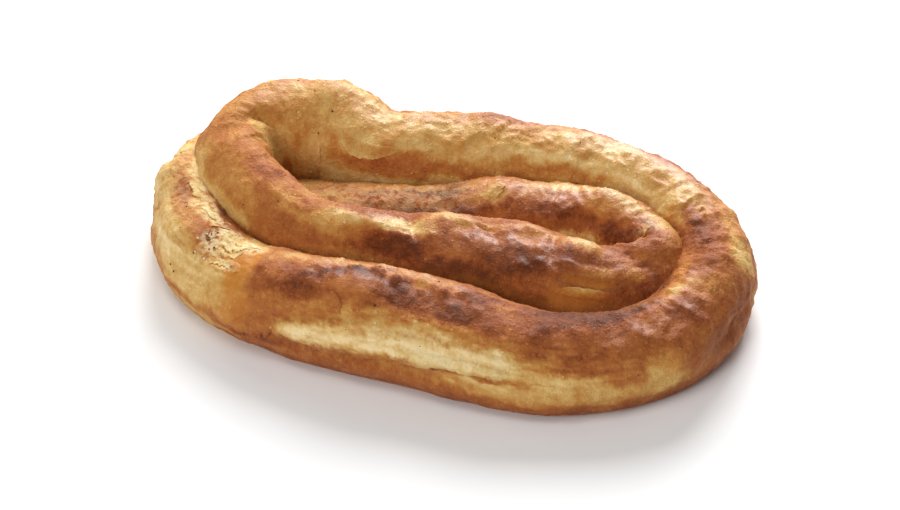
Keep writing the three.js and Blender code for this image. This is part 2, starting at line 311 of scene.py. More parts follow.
# Fine relief of the crust. Lines run over (along, around) places.
fineRelief = {
    # Edges of dough sheets: rise in mm, how far the rim fades back, and the line. The sheet lies left of it.
    "sheetEdges": [
        (0.9, 6, [(126, 192), (133, 190), (141, 183), (144, 165)]),
        (1.0, 7, [(145, 176), (146, 162), (154, 150), (168, 143), (184, 136)]),
        (1.2, 7, [(237, 163), (222, 163), (211, 167), (194, 174), (177, 181), (161, 181), (143, 179)]),
        (0.8, 5, [(131, 70), (134, 95), (134, 118), (137, 140), (131, 162)]),
        (0.8, 6, [(101, 182), (101, 150), (102, 120), (101, 90), (103, 66)]),
        (2.2, 10, [(47, 188), (46, 166), (48, 142), (44, 124), (46, 104), (44, 84)]),
        (0.7, 5, [(519, 60), (518, 46), (512, 34), (504, 30), (497, 42), (488, 48)]),
        (0.9, 7, [(368, 112), (367, 92), (365, 72), (370, 50)]),
        (0.8, 5, [(378, 104), (377, 84), (379, 64), (385, 44)]),
        (0.8, 5, [(408, 80), (408, 62), (410, 44)]),
        (0.9, 6, [(570, 104), (569, 84), (571, 66), (566, 44), (556, 26)]),
        (0.8, 5, [(859, 104), (858, 88), (861, 74), (857, 60)]),
        (0.7, 5, [(887, 116), (888, 98), (885, 84), (889, 70)]),
        (0.8, 4, [(761, 128), (753, 131), (745, 134), (742, 142)]),
        (0.8, 5, [(666, 140), (660, 130), (661, 116), (668, 106), (676, 104), (684, 112)]),
        (0.6, 5, [(167, 142), (168, 130), (163, 116)]),
        (0.8, 6, [(310, 201), (312, 182), (314, 166), (321, 157), (330, 152)]),
        (1.0, 7, [(452, 176), (436, 168), (418, 164), (402, 170), (386, 166)]),
        (0.9, 6, [(378, 150), (392, 146), (410, 150), (426, 144)]),
        (1.0, 7, [(540, 172), (524, 162), (506, 158), (488, 166)]),
        (0.8, 6, [(470, 132), (469, 150), (474, 168), (472, 184)]),
    ],
    # Narrow ridges and creases: rise, breadth, line.
    "ridges": [
        (-0.9, 1.6, [(112, 124), (118, 120), (127, 119)]),
        (0.7, 2.2, [(306, 58), (305, 72), (307, 88)]),
        (0.8, 2.4, [(312, 68), (313, 82), (311, 96)]),
        (0.8, 2.2, [(325, 70), (326, 88), (330, 104), (331, 116)]),
        (0.7, 2.2, [(333, 88), (336, 102), (337, 118)]),
        (0.6, 2.4, [(266, 118), (270, 132), (270, 146)]),
        (0.6, 2.4, [(277, 108), (282, 120), (288, 132), (287, 150)]),
        (0.6, 2.0, [(293, 90), (296, 102), (297, 112)]),
        (0.8, 3.0, [(544, -18), (560, 2), (572, 18), (584, 34), (594, 52)]),
        (0.6, 2.4, [(556, -10), (566, 6), (578, 22)]),
        (0.7, 2.0, [(578, 40), (583, 58), (588, 76), (590, 92)]),
        (-0.8, 2.2, [(770, 100), (771, 108), (765, 111)]),
        (-0.7, 2.0, [(776, 92), (773, 104), (778, 118), (782, 134)]),
        (-0.6, 1.8, [(784, 80), (783, 100), (787, 124)]),
        (0.6, 2.0, [(792, 60), (791, 78), (795, 94)]),
        (-0.6, 1.8, [(743, 96), (749, 104), (756, 100)]),
        (0.8, 2.4, [(737, 118), (739, 112), (747, 108), (754, 112), (759, 124)]),
        (-0.8, 1.8, [(725, 98), (731, 94), (736, 84), (735, 68)]),
        (0.6, 2.4, [(644, 84), (650, 88), (658, 98), (668, 100), (678, 98)]),
    ],
    # Single bubbles and dents: along, around, length, width, rise in mm, lean.
    "bubbles": [
        (178, 80, 6.5, 6, 1.3, 0.2), (182, 69, 5, 5, 1.1, 0), (186, 87, 5, 4, 1.0, 0),
        (190, 80, 6, 5, 0.9, 0.2),
        (195, 78, 6, 5, 1.0, 0), (200, 80, 6, 4, 0.8, 0), (205, 86, 5, 4, 1.0, 0), (212, 80, 7, 4, 0.8, 0),
        (197, 90, 4, 3, 0.8, 0), (163, 84, 7, 4, 0.9, 0.3), (163, 95, 5, 3, 0.9, 0),
        (168, 79, 7, 4, 0.8, 0.2),
        (173, 81, 6, 4, 0.7, 0), (157, 88, 7, 4, 0.7, 0.3), (173, 106, 24, 14, 1.5, -0.3),
        (152, 108, 14, 10, 0.9, 0.4),
        (727, 85, 14, 7.5, -1.3, -0.35), (708, 80, 8, 4, -0.9, 0), (714, 91, 10, 4, -0.7, 0),
        (701, 88, 9, 5, -0.9, 0),
        (736, 116, 8, 4, 1.0, 0.2), (729, 125, 8, 4, 0.9, 0.3), (741, 121, 7, 4, 0.8, 0),
        (751, 127, 17, 4.5, -1.9, 0), (750, 141, 20, 6, 0.7, 0), (823, 48, 26, 10, -1.4, -0.3),
        (881, 70, 11, 6, -1.6, 0.2),
        (870, 68, 7, 5, -1.2, 0), (861, 74, 8, 7, -1.0, 0), (73, 152, 3.2, 4.8, 1.0, 0),
        (293, 160, 20, 12, 0.9, 0),
        (552, 26, 18, 10, 1.2, 0), (532, 14, 16, 10, 1.0, 0), (543, 42, 12, 8, 0.8, 0),
        (617, 74, 9, 5, 0.8, 0.2),
        (625, 106, 8, 5, 0.8, 0), (664, 122, 22, 11, -1.3, 0.2),
    ],
    # Bubbles and wrinkles: from and to along, from and to around, how many, size, rise, stretch, lean, seed.
    "scatters": [
        (30, 122, 60, 185, 70, (3, 9), 0.34, 0.35, 0.1, 11),
        (132, 242, 62, 130, 120, (2.5, 7), 0.36, 1.0, 0.0, 12),
        (135, 247, 125, 190, 50, (3, 9), 0.22, 1.6, 0.0, 13),
        (242, 344, 60, 195, 120, (2.5, 8), 0.38, 0.55, 0.3, 14),
        (334, 366, 52, 112, 60, (1.6, 3.6), 0.5, 1.0, 0.0, 15),
        (364, 484, 20, 120, 120, (2.5, 8), 0.34, 0.8, 0.3, 16),
        (444, 484, 40, 75, 26, (2.2, 4.5), 0.5, 1.0, 0.0, 17),
        (484, 604, 20, 125, 90, (2.5, 8), 0.26, 0.8, 0.2, 18),
        (604, 764, 62, 165, 130, (2, 7), 0.36, 1.0, 0.1, 19),
        (764, 856, 40, 125, 80, (2, 6), 0.4, 0.6, 0.2, 20),
        (856, 956, 55, 125, 70, (2, 6), 0.4, 0.7, 0.0, 21),
        (303, 644, 118, 200, 260, (3, 9), 0.3, 0.9, 0.1, 22),
        (2, 60, 40, 140, 40, (2, 7), 0.3, 0.5, 0.0, 23),
        (146, 222, 70, 98, 60, (2.2, 4.6), 0.55, 1.0, 0.0, 24),
    ],
    "scatterRise": 1.9,
    "bubbleRise": 1.35,
    # Crinkled skin: from and to along, from and to around, rise, size along and across in mm, slant, seed.
    "crinkles": [
        (264, 356, 60, 150, 0.6, 7, 10, 0.5, 71), (262, 345, 62, 140, 0.45, 3.2, 9, 0.9, 84),
        (252, 364, 40, 190, 0.4, 3.4, 5, 0.2, 72),
        (356, 504, 15, 125, 0.7, 9, 6, 0.5, 73), (356, 504, 15, 125, 0.4, 4, 5, 0.0, 74),
        (564, 644, 40, 165, 0.5, 6, 5, 0.2, 75), (504, 564, 20, 125, 0.35, 8, 7, 0.3, 76),
        (793, 946, 30, 125, 0.7, 4.6, 8, 0.3, 77), (659, 793, 62, 165, 0.4, 5, 7, 0.3, 78),
        (135, 257, 62, 125, 0.35, 4, 5, 0.3, 79), (40, 125, 40, 190, 0.5, 6, 7, 0.0, 80),
        (356, 600, 122, 195, 0.6, 13, 3, 0.3, 85), (356, 600, 112, 195, 0.5, 6, 6, -0.3, 86),
        (145, 274, 122, 192, 0.6, 13, 2.6, 0.3, 81), (145, 274, 122, 192, 0.3, 5, 2, -0.4, 82),
    ],
    "unevenness": [  # rise, size, stretch along the roll, seed
        (0.5, 10, 0.8, 31), (0.22, 4, 0.7, 33),
    ],
    "lineWander": (5, 1),  # lines wander by about a millimetre: over how many mm, and seed
    "leastMmPerDegree": 0.25,
    "edgeRoom": 5,  # how far the relief of an edge is followed, of its fading length
    "edgeTaper": 5,  # mm over which an edge rises at its ends
    "edgeFoot": (0.35, 1.4),  # crease beside an edge: share of its rise, and breadth in mm
    "ridgeRoom": 3,
    "ridgeTaper": 4,
}


def dome(place, row, power=1.3):
    along, around, length, width, rise, lean = row
    across = (place["around"] - around) * degree * place["girth"]
    shift = place["along"] - along - lean * across
    inside = np.clip(1 - (shift / (length / 2)) ** 2 - (across / (width / 2)) ** 2, 0, 1)
    return rise * inside**power


def addScatter(place, zone):
    low, high, inner, outer, count, (smallest, largest), rise, stretch, lean, seed = zone
    draw = np.random.default_rng(seed)
    total = np.zeros(place["along"].shape)
    for i in range(count):
        along, around = draw.uniform(low, high), draw.uniform(inner, outer)
        size = smallest + (largest - smallest) * draw.random() ** 2
        length, width = size * stretch**0.5, size / stretch**0.5
        height = rise * draw.uniform(0.2, 1) * (size / largest) ** 0.5
        near = np.abs(place["along"] - along) < 1.6 * (length + width)
        ownLean = lean + 0.5 * draw.uniform(-1, 1)
        total[near] = np.maximum(
            total[near], dome(only(place, near), (along, around, length, width, height, ownLean))
        )
    return total


def crinkle(place, row):
    low, high, inner, outer, rise, sizeAlong, sizeAcross, slant, seed = row
    along, around, across = place["along"], place["around"], place["across"]
    inside = smoothStep(low - 8, low + 8, along) * smoothStep(high + 8, high - 8, along)
    inside *= smoothStep(inner - 12, inner + 12, around) * smoothStep(outer + 12, outer - 12, around)
    x, y = (along + slant * across) / sizeAlong, across / sizeAcross
    x = x + 0.8 * smoothNoise(x / 2.3, y / 1.7, seed + 1)
    ridge = np.clip(1 - 2.8 * np.abs(layeredNoise(x, y, seed, 2)), 0, 1) ** 1.6
    return rise * inside * (ridge - 0.35)


def reliefAt(place):
    rise = np.zeros(place["along"].shape)
    for row in largeHills():
        rise += hill(place, row)
    for height, size, lean, seed in lumps:
        leaned = place["along"] + lean * place["across"]
        rise += height * smoothNoise(leaned / size, place["across"] / size, seed)
    return rise


def alongLine(place, line, room, taper):  # where a line is felt, the distance from it, and how its ends fade
    near = nearLine(place, line, room)
    distance, run, length = polyline(only(place, near), line)
    return near, distance, smoothStep(0, taper, run) * smoothStep(0, taper, length - run)


def fineReliefAt(place):
    rise = np.zeros(place["along"].shape)
    footShare, footBreadth = fineRelief["edgeFoot"]
    for height, reach, line in fineRelief["sheetEdges"]:
        room = fineRelief["edgeRoom"] * reach
        near, distance, ends = alongLine(place, line, room, fineRelief["edgeTaper"])
        rim = smoothStep(-0.5, 0.5, distance) * np.exp(-np.maximum(distance, 0) / reach)
        foot = np.exp(-np.maximum(-distance, 0) / footBreadth) * smoothStep(0.4, -0.4, distance)
        rise[near] += height * ends * (rim - footShare * foot)
    for height, breadth, line in fineRelief["ridges"]:
        room = fineRelief["ridgeRoom"] * breadth
        near, distance, ends = alongLine(place, line, room, fineRelief["ridgeTaper"])
        rise[near] += height * ends * np.exp(-2 * (distance / breadth) ** 2)
    for row in fineRelief["bubbles"]:
        rise += dome(place, row, 0.8) * fineRelief["bubbleRise"]
    for zone in fineRelief["scatters"]:
        rise += addScatter(place, zone) * fineRelief["scatterRise"]
    for row in fineRelief["crinkles"]:
        rise += crinkle(place, row)
    for height, size, stretch, seed in fineRelief["unevenness"]:
        rise += height * layeredNoise(place["along"] / size / stretch, place["across"] / size, seed, 3)
    return rise


footAngle = math.asin((1 / roll["sag"]) ** (1 / roll["fullness"])) / degree


def aboveFoot(around):  # degrees from the nearer of the roll's two feet
    return np.minimum(around + footAngle, 180 + footAngle - around)


def surfaceAt(alongs, around, fine=True):  # points in mm at places on the roll
    alongs, around = np.broadcast_arrays(np.asarray(alongs, float), np.asarray(around, float))
    names = [name for name in route if name not in ("length", "along")]
    at = {name: np.interp(alongs, route["along"], route[name]) for name in names}
    fromEnd = np.minimum(alongs, route["length"] - alongs)
    rounding = np.sqrt(1 - (1 - np.minimum(fromEnd / roll["endRound"], 1)) ** 2)
    halfWidth, height = at["halfWidth"] * rounding, at["height"] * rounding
    cosine, sine = np.cos(around * degree), np.sin(around * degree)
    place = {"along": alongs + 0.0, "around": around + 0.0, "girth": (halfWidth + height / 2) / 2}
    place["across"] = place["around"] * degree * place["girth"]
    room = np.maximum(1 - np.maximum(halfWidth * at["bend"] * cosine, 0), 0)
    place["raised"] = fineReliefAt(place) * np.minimum(rounding * 1.2, 1) if fine else 0 * around
    rise = (reliefAt(place) + place["raised"]) * smoothStep(0, roll["footFade"], aboveFoot(around)) * room
    swell = np.where(cosine > 0, at["innerSwell"], at["outerSwell"]) * rounding
    flank = halfWidth * np.abs(cosine) ** roll["fullness"] + swell * np.abs(cosine) ** 3
    across = squeezed(np.sign(cosine) * flank + rise * cosine, at["bend"])
    belly = roll["bellyShare"] * height
    crown = np.where(sine >= 0, height - belly, belly * roll["sag"])
    up = crown * np.sign(sine) * np.abs(sine) ** roll["fullness"] + rise * sine
    z = np.maximum(belly + up, roll["lowestPoint"])
    x = at["x"] - np.sin(at["heading"]) * across - roll["footprintMiddle"][0]
    y = at["y"] + np.cos(at["heading"]) * across - roll["footprintMiddle"][1]
    return np.stack([x, y, z], axis=-1), place


def layRings(alongs, sides):
    around = np.linspace(-footAngle, 180 + footAngle, sides)
    points, place = surfaceAt(alongs[:, None], around[None])
    points[:, 0, 2] = points[:, -1, 2] = 0
    return points, place


def stretchMesh(name, low, high):
    steps = max(1, round((high - low) / roll["ringSpacing"]))
    alongs = np.linspace(low, high, steps + 1)
    points, place = layRings(alongs, roll["sides"])
    sides = roll["sides"]
    corners = points.reshape(-1, 3)
    ring, side = np.meshgrid(np.arange(steps), np.arange(sides), indexing="ij")
    a = ring * sides + side
    b = ring * sides + (side + 1) % sides
    faces = [tuple(face) for face in np.stack([a, b, b + sides, a + sides], axis=2).reshape(-1, 4).tolist()]
    count = len(corners)
    middles = [points[0].mean(axis=0), points[-1].mean(axis=0)]
    for k in range(sides):
        following = (k + 1) % sides
        faces.append((count, following, k))
        faces.append((count + 1, steps * sides + k, steps * sides + following))
    mesh = bpy.data.meshes.new(name)
    mesh.from_pydata((np.vstack([corners, middles]) * mm).tolist(), [], faces)
    for key in ("along", "around", "raised"):
        values = place[key].reshape(-1)
        values = np.concatenate([values, [values[sides // 2], values[-sides // 2]]])
        layer = mesh.attributes.new(key, "FLOAT", "POINT")
        layer.data.foreach_set("value", values.astype(np.float32))
    return addObject(name, mesh)


def joinStretches():
    ends = [roll["endTrim"], *roll["stretchEnds"], route["length"] - roll["endTrim"]]
    stretches = [stretchMesh(f"stretch{i}", ends[i], ends[i + 1]) for i in range(len(ends) - 1)]
    first = stretches[0]
    for other in stretches[1:]:
        join = first.modifiers.new("join", "BOOLEAN")
        join.operation = "UNION"
        join.solver = "MANIFOLD"
        join.object = other
    evaluated = first.evaluated_get(bpy.context.evaluated_depsgraph_get())
    mesh = bpy.data.meshes.new_from_object(evaluated)
    for stretch in stretches:
        bpy.data.objects.remove(stretch)
    return mesh


def readLayer(mesh, name):
    values = np.empty(len(mesh.vertices), np.float32)
    mesh.attributes[name].data.foreach_get("value", values)
    return values.astype(float)


def writeLayer(mesh, name, values):
    layer = mesh.attributes.get(name) or mesh.attributes.new(name, "FLOAT", "POINT")
    layer.data.foreach_set("value", np.asarray(values, np.float32))


def pointsOf(mesh):
    points = np.empty(len(mesh.vertices) * 3, np.float32)
    mesh.vertices.foreach_get("co", points)
    return points.reshape(-1, 3).astype(float)


def placesOf(mesh):
    along, around = readLayer(mesh, "along"), readLayer(mesh, "around")
    girth = np.interp(along, route["along"], girthRadius)
    return {"along": along, "around": around, "girth": girth, "across": around * degree * girth}


def mendPlaces(mesh):  # points made by the joining take the place of the nearest point that has one
    along, around = readLayer(mesh, "along"), readLayer(mesh, "around")
    points = pointsOf(mesh)
    known = np.flatnonzero((along != 0) | (around != 0))
    tree = KDTree(len(known))
    for index in known:
        tree.insert(points[index], int(index))
    tree.balance()
    for index in np.flatnonzero((along == 0) & (around == 0)):
        nearest = tree.find(points[index])[1]
        along[index], around[index] = along[nearest], around[nearest]
    writeLayer(mesh, "along", along)
    writeLayer(mesh, "around", around)


# How the crust browned, with painted shade and painted highlight laid into the same bake. Bake runs from 0,
# pale cream, over 0.5, golden brown, to 1, dark purple brown.
browning = {
    "stretches": [  # along, and bake there before the patches
        (0, 0.34), (40, 0.32), (118, 0.30), (134, 0.6), (150, 0.66), (231, 0.68), (303, 0.66),
        (364, 0.54), (484, 0.48),
        (564, 0.45), (624, 0.62), (743, 0.72), (788, 0.58), (960, 0.48),
    ],
    "patches": [  # along, around, length and width in mm, bake; pale rows along the crests are partly painted highlight, and dark rows deep in the grooves and along the foot partly painted shade, besides the browning
        # tail
        (45, 96, 20, 8, 0.36), (54, 92, 6, 4, 0.5), (63, 98, 6, 4, 0.5), (76, 100, 18, 8, 0.44),
        (96, 104, 20, 8, 0.46),
        (60, 74, 34, 8, 0.1), (84, 76, 26, 7, 0.04), (90, 89, 12, 6, 0.14), (42, 112, 10, 6, 0.16),
        (60, 120, 40, 7, 0.26),
        (73, 152, 4, 6, 0.84), (110, 90, 14, 14, 0.06), (120, 80, 16, 8, 0.02), (114, 122, 14, 7, 0.24),
        (112, 142, 16, 12, 0.22), (80, 168, 14, 8, 0.38), (103, 76, 5, 8, 0.5), (84, 50, 14, 8, 0.45),
        (100, 150, 26, 10, 0.16), (110, 170, 26, 8, 0.2), (96, 126, 12, 7, 0.36), (106, 98, 8, 5, 0.5),
        (122, 160, 8, 14, 0.3),
        # smooth yellow sheet before the browned part
        (126, 112, 11, 24, 0.42), (130, 158, 11, 14, 0.4),
        # front roll, from the crest down to its foot
        (144, 110, 18, 14, 0.78), (152, 124, 24, 8, 0.82), (137, 84, 8, 9, 0.4), (138, 100, 8, 7, 0.6),
        (142, 70, 16, 7, 0.3), (150, 84, 20, 5, 0.54), (165, 68, 44, 5, 0.42), (150, 92, 16, 4, 0.74),
        (147, 116, 14, 4, 0.9), (155, 102, 12, 4, 0.9), (163, 92, 13, 3.6, 0.93), (172, 87, 14, 3.6, 0.93),
        (181, 90, 12, 4, 0.9), (191, 92, 14, 5, 0.86), (196, 73, 34, 7, 0.46), (176, 74, 16, 5, 0.66),
        (204, 96, 24, 9, 0.74), (218, 87, 13, 9, 0.68), (223, 111, 36, 12, 0.78), (229, 74, 12, 7, 0.4),
        (250, 122, 30, 12, 0.72), (237, 100, 20, 8, 0.62), (200, 124, 76, 5, 0.5),
        (174, 104, 22, 7, 0.68), (178, 118, 22, 7, 0.56), (184, 130, 26, 5, 0.34), (174, 136, 14, 6, 0.42),
        (206, 147, 62, 10, 0.02), (186, 152, 30, 8, 0.1), (229, 153, 34, 8, 0.08), (203, 130, 12, 4, 0.3),
        (182, 147, 26, 3, 0.36), (196, 141, 22, 3, 0.32), (213, 138, 20, 3, 0.34), (172, 150, 18, 3, 0.34),
        (160, 138, 14, 7, 0.52), (145, 142, 16, 8, 0.64), (136, 168, 14, 12, 0.6),
        (160, 161, 26, 8, 0.02), (182, 162, 34, 8, 0.02), (196, 175, 30, 3, 0.62), (212, 172, 12, 2, 0.6),
        # the darker rows low on the foot are browned underside and painted shade where the belly overhangs
        # the floor
        (250, 180, 90, 8, 0.3), (162, 190, 50, 7, 0.66),
        (220, 167, 10, 3, 0.1), (231, 172, 26, 5, 0.2), (200, 210, 200, 4, 0.8),
        (223, 64, 30, 6, 0.7), (214, 110, 16, 6, 0.82), (190, 108, 16, 6, 0.8),
        # right turn
        (248, 84, 20, 10, 0.6), (264, 62, 40, 7, 0.8), (245, 102, 10, 8, 0.8), (260, 115, 28, 12, 0.7),
        (250, 163, 26, 8, 0.16), (246, 140, 10, 5, 0.4), (242, 172, 10, 9, 0.34), (270, 150, 12, 14, 0.56),
        (260, 170, 12, 8, 0.3), (287, 166, 14, 14, 0.2),
        (305, 140, 36, 26, 0.68), (313, 166, 18, 12, 0.66), (307, 64, 18, 5, 0.32),
        (336, 128, 12, 14, 0.36),
        (322, 96, 18, 10, 0.66), (350, 82, 24, 17, 0.74), (356, 58, 16, 5, 0.3), (318, 62, 16, 5, 0.3),
        (307, 74, 10, 5, 0.3), (350, 54, 30, 4, 0.62), (349, 112, 22, 5, 0.48),
        # back roll
        (374, 80, 12, 22, 0.4), (404, 94, 96, 8, 0.24), (400, 72, 30, 7, 0.44), (394, 44, 30, 5, 0.66),
        (417, 45, 20, 7, 0.76), (438, 37, 40, 7, 0.74), (434, 56, 36, 6, 0.44), (461, 28, 44, 7, 0.76),
        (466, 52, 30, 7, 0.4), (459, 68, 34, 5, 0.46), (474, 90, 34, 9, 0.34), (498, 24, 36, 12, 0.78),
        (509, 42, 12, 7, 0.28), (490, 50, 14, 6, 0.34), (499, 76, 34, 10, 0.36), (509, 102, 34, 8, 0.2),
        # left turn
        (509, -2, 60, 5, 0.36), (454, 6, 100, 5, 0.3), (540, 0, 50, 14, 0.3), (544, 46, 44, 9, 0.46),
        (530, 24, 20, 7, 0.28), (560, 30, 18, 8, 0.3), (534, 86, 40, 10, 0.34), (556, 84, 20, 10, 0.46),
        (578, 12, 22, 8, 0.3), (560, 0, 14, 5, 0.68), (576, 98, 14, 16, 0.46), (596, 72, 32, 12, 0.48),
        (596, 112, 40, 12, 0.6), (608, 132, 40, 8, 0.52), (588, 130, 24, 10, 0.52),
        (604, 152, 40, 6, 0.28), (616, 100, 28, 12, 0.6),
        (634, 118, 26, 14, 0.76), (636, 72, 26, 8, 0.44), (626, 92, 18, 7, 0.5), (652, 92, 18, 6, 0.42),
        (652, 132, 22, 8, 0.68),
        # middle roll, front side
        (674, 122, 26, 13, 0.92), (676, 96, 22, 4, 0.4), (698, 112, 30, 10, 0.76), (704, 144, 64, 9, 0.76),
        (690, 74, 16, 7, 0.4), (698, 88, 10, 6, 0.62), (708, 80, 9, 5, 0.62), (716, 90, 12, 4, 0.56),
        (712, 74, 26, 6, 0.5), (730, 70, 16, 6, 0.46), (664, 74, 34, 8, 0.6), (682, 84, 8, 5, 0.36),
        (726, 104, 14, 4, 0.6), (727, 88, 14, 7, 0.6), (722, 97, 12, 2.6, 0.84), (749, 80, 17, 9, 0.42),
        (747, 101, 24, 7, 0.84), (725, 122, 30, 10, 0.93), (757, 112, 12, 6, 0.5),
        (725, 155, 60, 6, 0.8), (751, 127, 18, 4, 0.72), (749, 150, 15, 8, 0.68),
        (766, 142, 16, 12, 0.82),
        # tight turn and the back side of the middle roll
        (771, 106, 7, 4, 0.98), (779, 112, 13, 12, 0.64), (778, 84, 20, 9, 0.7), (766, 118, 9, 7, 0.42),
        (795, 98, 11, 14, 0.42), (826, 102, 56, 7, 0.24), (823, 82, 50, 6, 0.6), (823, 68, 56, 6, 0.7),
        (833, 44, 66, 10, 0.8), (807, 56, 14, 10, 0.84),
        (866, 75, 20, 7, 0.34), (873, 58, 14, 7, 0.66), (868, 106, 20, 6, 0.42), (880, 92, 14, 7, 0.4),
        (879, 106, 14, 5, 0.56), (903, 78, 40, 10, 0.44), (903, 110, 40, 7, 0.4), (924, 92, 20, 7, 0.3),
        (938, 112, 18, 14, 0.46),
        # far side, which browned like the front
        (372, 140, 40, 10, 0.62), (412, 134, 60, 9, 0.7), (462, 140, 50, 10, 0.66), (508, 132, 50, 9, 0.72),
        (548, 138, 36, 10, 0.6), (404, 168, 70, 8, 0.14), (452, 162, 50, 7, 0.24), (506, 168, 70, 8, 0.16),
        (556, 172, 40, 7, 0.3), (480, 186, 220, 5, 0.6), (460, 206, 300, 5, 0.82), (600, 200, 120, 6, 0.7),
        (350, 176, 40, 8, 0.4), (30, 160, 50, 12, 0.4),
    ],
    "paintedLightAndBrowning": [  # along, around, length and width in mm, and how much darker: painted shade in grooves, hollows and under the foot, painted highlight (negative) where crests catch the light, and some browning
        (84, 100, 60, 9, 0.12), (112, 100, 20, 14, 0.12), (80, 138, 50, 10, -0.1), (85, 60, 44, 12, 0.24),
        (90, 46, 44, 9, 0.26), (82, 84, 44, 10, 0.12), (50, 142, 22, 10, -0.14),
        (96, 114, 12, 8, -0.1), (105, 100, 10, 12, 0.16), (104, 66, 24, 8, 0.12), (80, 176, 30, 8, 0.12),
        (118, 185, 56, 4, 0.26),
        (190, 118, 24, 6, 0.12), (146, 136, 20, 7, -0.08), (182, 58, 50, 5, -0.2),
        (210, 100, 50, 8, 0.08), (176, 100, 80, 8, 0.06),
        (236, 84, 50, 10, 0.08), (262, 70, 60, 13, 0.24), (280, 62, 44, 12, 0.22), (218, 74, 18, 9, 0.2),
        (312, 54, 30, 8, 0.28),
        (262, 96, 44, 10, 0.06), (226, 60, 20, 6, -0.1), (237, 130, 12, 10, -0.14), (216, 166, 56, 3, 0.2),
        (180, 178, 30, 3, -0.1),
        (308, 84, 24, 5, -0.2), (328, 84, 26, 8, 0.12), (347, 66, 26, 12, 0.2), (205, 168, 60, 3, 0.3),
        (339, 128, 14, 12, -0.15), (300, 112, 12, 12, 0.12), (316, 112, 14, 10, -0.12),
        (424, 42, 110, 12, -0.27), (388, 44, 34, 10, -0.16), (500, 12, 60, 8, -0.1),
        (434, 48, 22, 5, 0.12), (424, 68, 120, 10, -0.14), (370, 72, 12, 8, -0.15),
        (474, 30, 50, 7, -0.12), (424, 100, 130, 8, 0.1),
        (524, 8, 80, 10, -0.08), (519, 42, 70, 14, -0.1), (504, 68, 60, 12, -0.06), (574, 30, 36, 14, -0.1),
        (574, 60, 14, 10, -0.2),
        (602, 74, 50, 11, 0.06), (620, 120, 50, 14, -0.1), (600, 102, 14, 8, -0.08),
        (614, 92, 22, 8, 0.1), (585, 144, 20, 8, -0.1),
        (636, 108, 24, 8, -0.14),
        (664, 74, 44, 11, 0.12), (668, 144, 44, 4, -0.14), (654, 112, 26, 9, -0.18),
        (672, 94, 40, 6, -0.26), (676, 122, 30, 8, 0.1), (698, 146, 44, 8, 0.22),
        (697, 76, 14, 7, -0.2), (749, 78, 20, 8, -0.16), (712, 112, 16, 6, -0.1),
        (768, 68, 16, 6, 0.15), (768, 122, 14, 8, 0.15), (766, 150, 36, 9, 0.12), (729, 158, 60, 6, 0.14),
        (712, 86, 14, 6, 0.14),
        (812, 46, 40, 7, 0.18), (797, 74, 14, 12, 0.28), (812, 72, 28, 10, -0.22), (826, 44, 50, 6, -0.1),
        (828, 27, 56, 5, -0.5),
        (843, 62, 44, 6, 0.2), (795, 112, 24, 6, -0.1), (890, 56, 34, 5, 0.2), (882, 58, 40, 7, 0.22),
        (876, 82, 18, 6, 0.12), (891, 106, 74, 9, 0.26), (900, 92, 54, 14, 0.26), (790, 82, 16, 10, 0.16),
        (886, 108, 50, 8, 0.2),
    ],
    "amberAndGlow": [  # smooth oily places where the dough is thin, and painted glow deep in a groove: along, around, length and width in mm, strength
        (126, 112, 11, 24, 1.0), (130, 158, 11, 14, 0.6), (170, 105, 20, 6, 0.3), (540, 4, 56, 22, 0.35),
        # the long row at the foot of the middle roll is painted glow of light shining through the dough in
        # the groove
        (564, 42, 14, 9, 0.5), (749, 148, 15, 8, 0.6), (753, 127, 14, 4, 0.6), (712, 158, 90, 6, 0.3),
        (868, 106, 22, 7, 0.9),
        (903, 112, 44, 8, 1.0), (303, 62, 60, 8, 0.3), (466, 52, 30, 7, 0.4), (454, 4, 100, 5, 0.6),
    ],
    "dry": [  # dry whitish torn layers
        (109, 92, 12, 18, 0.7), (88, 82, 14, 8, 0.6), (45, 112, 14, 8, 0.3), (118, 120, 12, 4, 0.7),
        (64, 74, 40, 7, 0.7), (90, 78, 24, 8, 0.8), (120, 80, 16, 8, 0.8), (60, 110, 70, 40, 0.2),
        (654, 90, 14, 5, 0.2), (866, 75, 18, 7, 0.1), (905, 88, 80, 18, 0.22), (795, 92, 10, 14, 0.3),
        (206, 148, 60, 9, 0.3), (160, 164, 22, 8, 0.3),
    ],
    "gloss": [  # where the crust shines: along, around, length and width in mm, strength
        (165, 68, 60, 9, 0.4), (198, 66, 30, 7, 0.5), (178, 92, 70, 6, 0.3), (306, 80, 34, 10, 0.35),
        (288, 112, 50, 8, 0.5), (400, 84, 84, 20, 0.9), (490, 84, 90, 16, 0.7),
        (545, 90, 50, 14, 0.4), (725, 80, 80, 10, 0.45), (722, 108, 80, 12, 0.8), (676, 94, 44, 7, 0.7),
        (774, 88, 16, 12, 0.3), (780, 118, 24, 10, 0.6), (830, 100, 70, 16, 0.9), (820, 26, 60, 4, 0.7),
    ],
    "leafStreaks": [  # streaks along the roll, in the same way
        (205, 148, 130, 26, 0.24), (90, 120, 80, 40, 0.14), (460, 166, 240, 24, 0.24),
    ],
    "clouds": [(460, 160, 260, 34, 0.5), (680, 30, 200, 14, 0.5), (30, 150, 60, 20, 0.3)],  # broad unevenness
    "raisedShare": 0.03,  # how much darker a millimetre of fine relief bakes
    "blotches": [(0.08, 2.6, 9, 53), (0.05, 7, 7, 59)],  # share, size along and across in mm, seed
    "cover": 0.92,  # how far a patch hides what lies under it
    "softness": 0.45,
    "warp": 2.8,  # mm that the outlines of the patches wander
    "warpSize": 7,
}


def patchWeight(place, row):
    along, around, length, width = row[:4]
    warp = browning["warp"]
    a = place["along"] + warp * place["warpAlong"]
    h = (place["around"] - around) * degree * place["girth"] + warp * place["warpAcross"]
    distance = np.hypot((a - along) / (length / 2), h / (width / 2))
    return smoothStep(1 + browning["softness"], 1 - browning["softness"], distance)


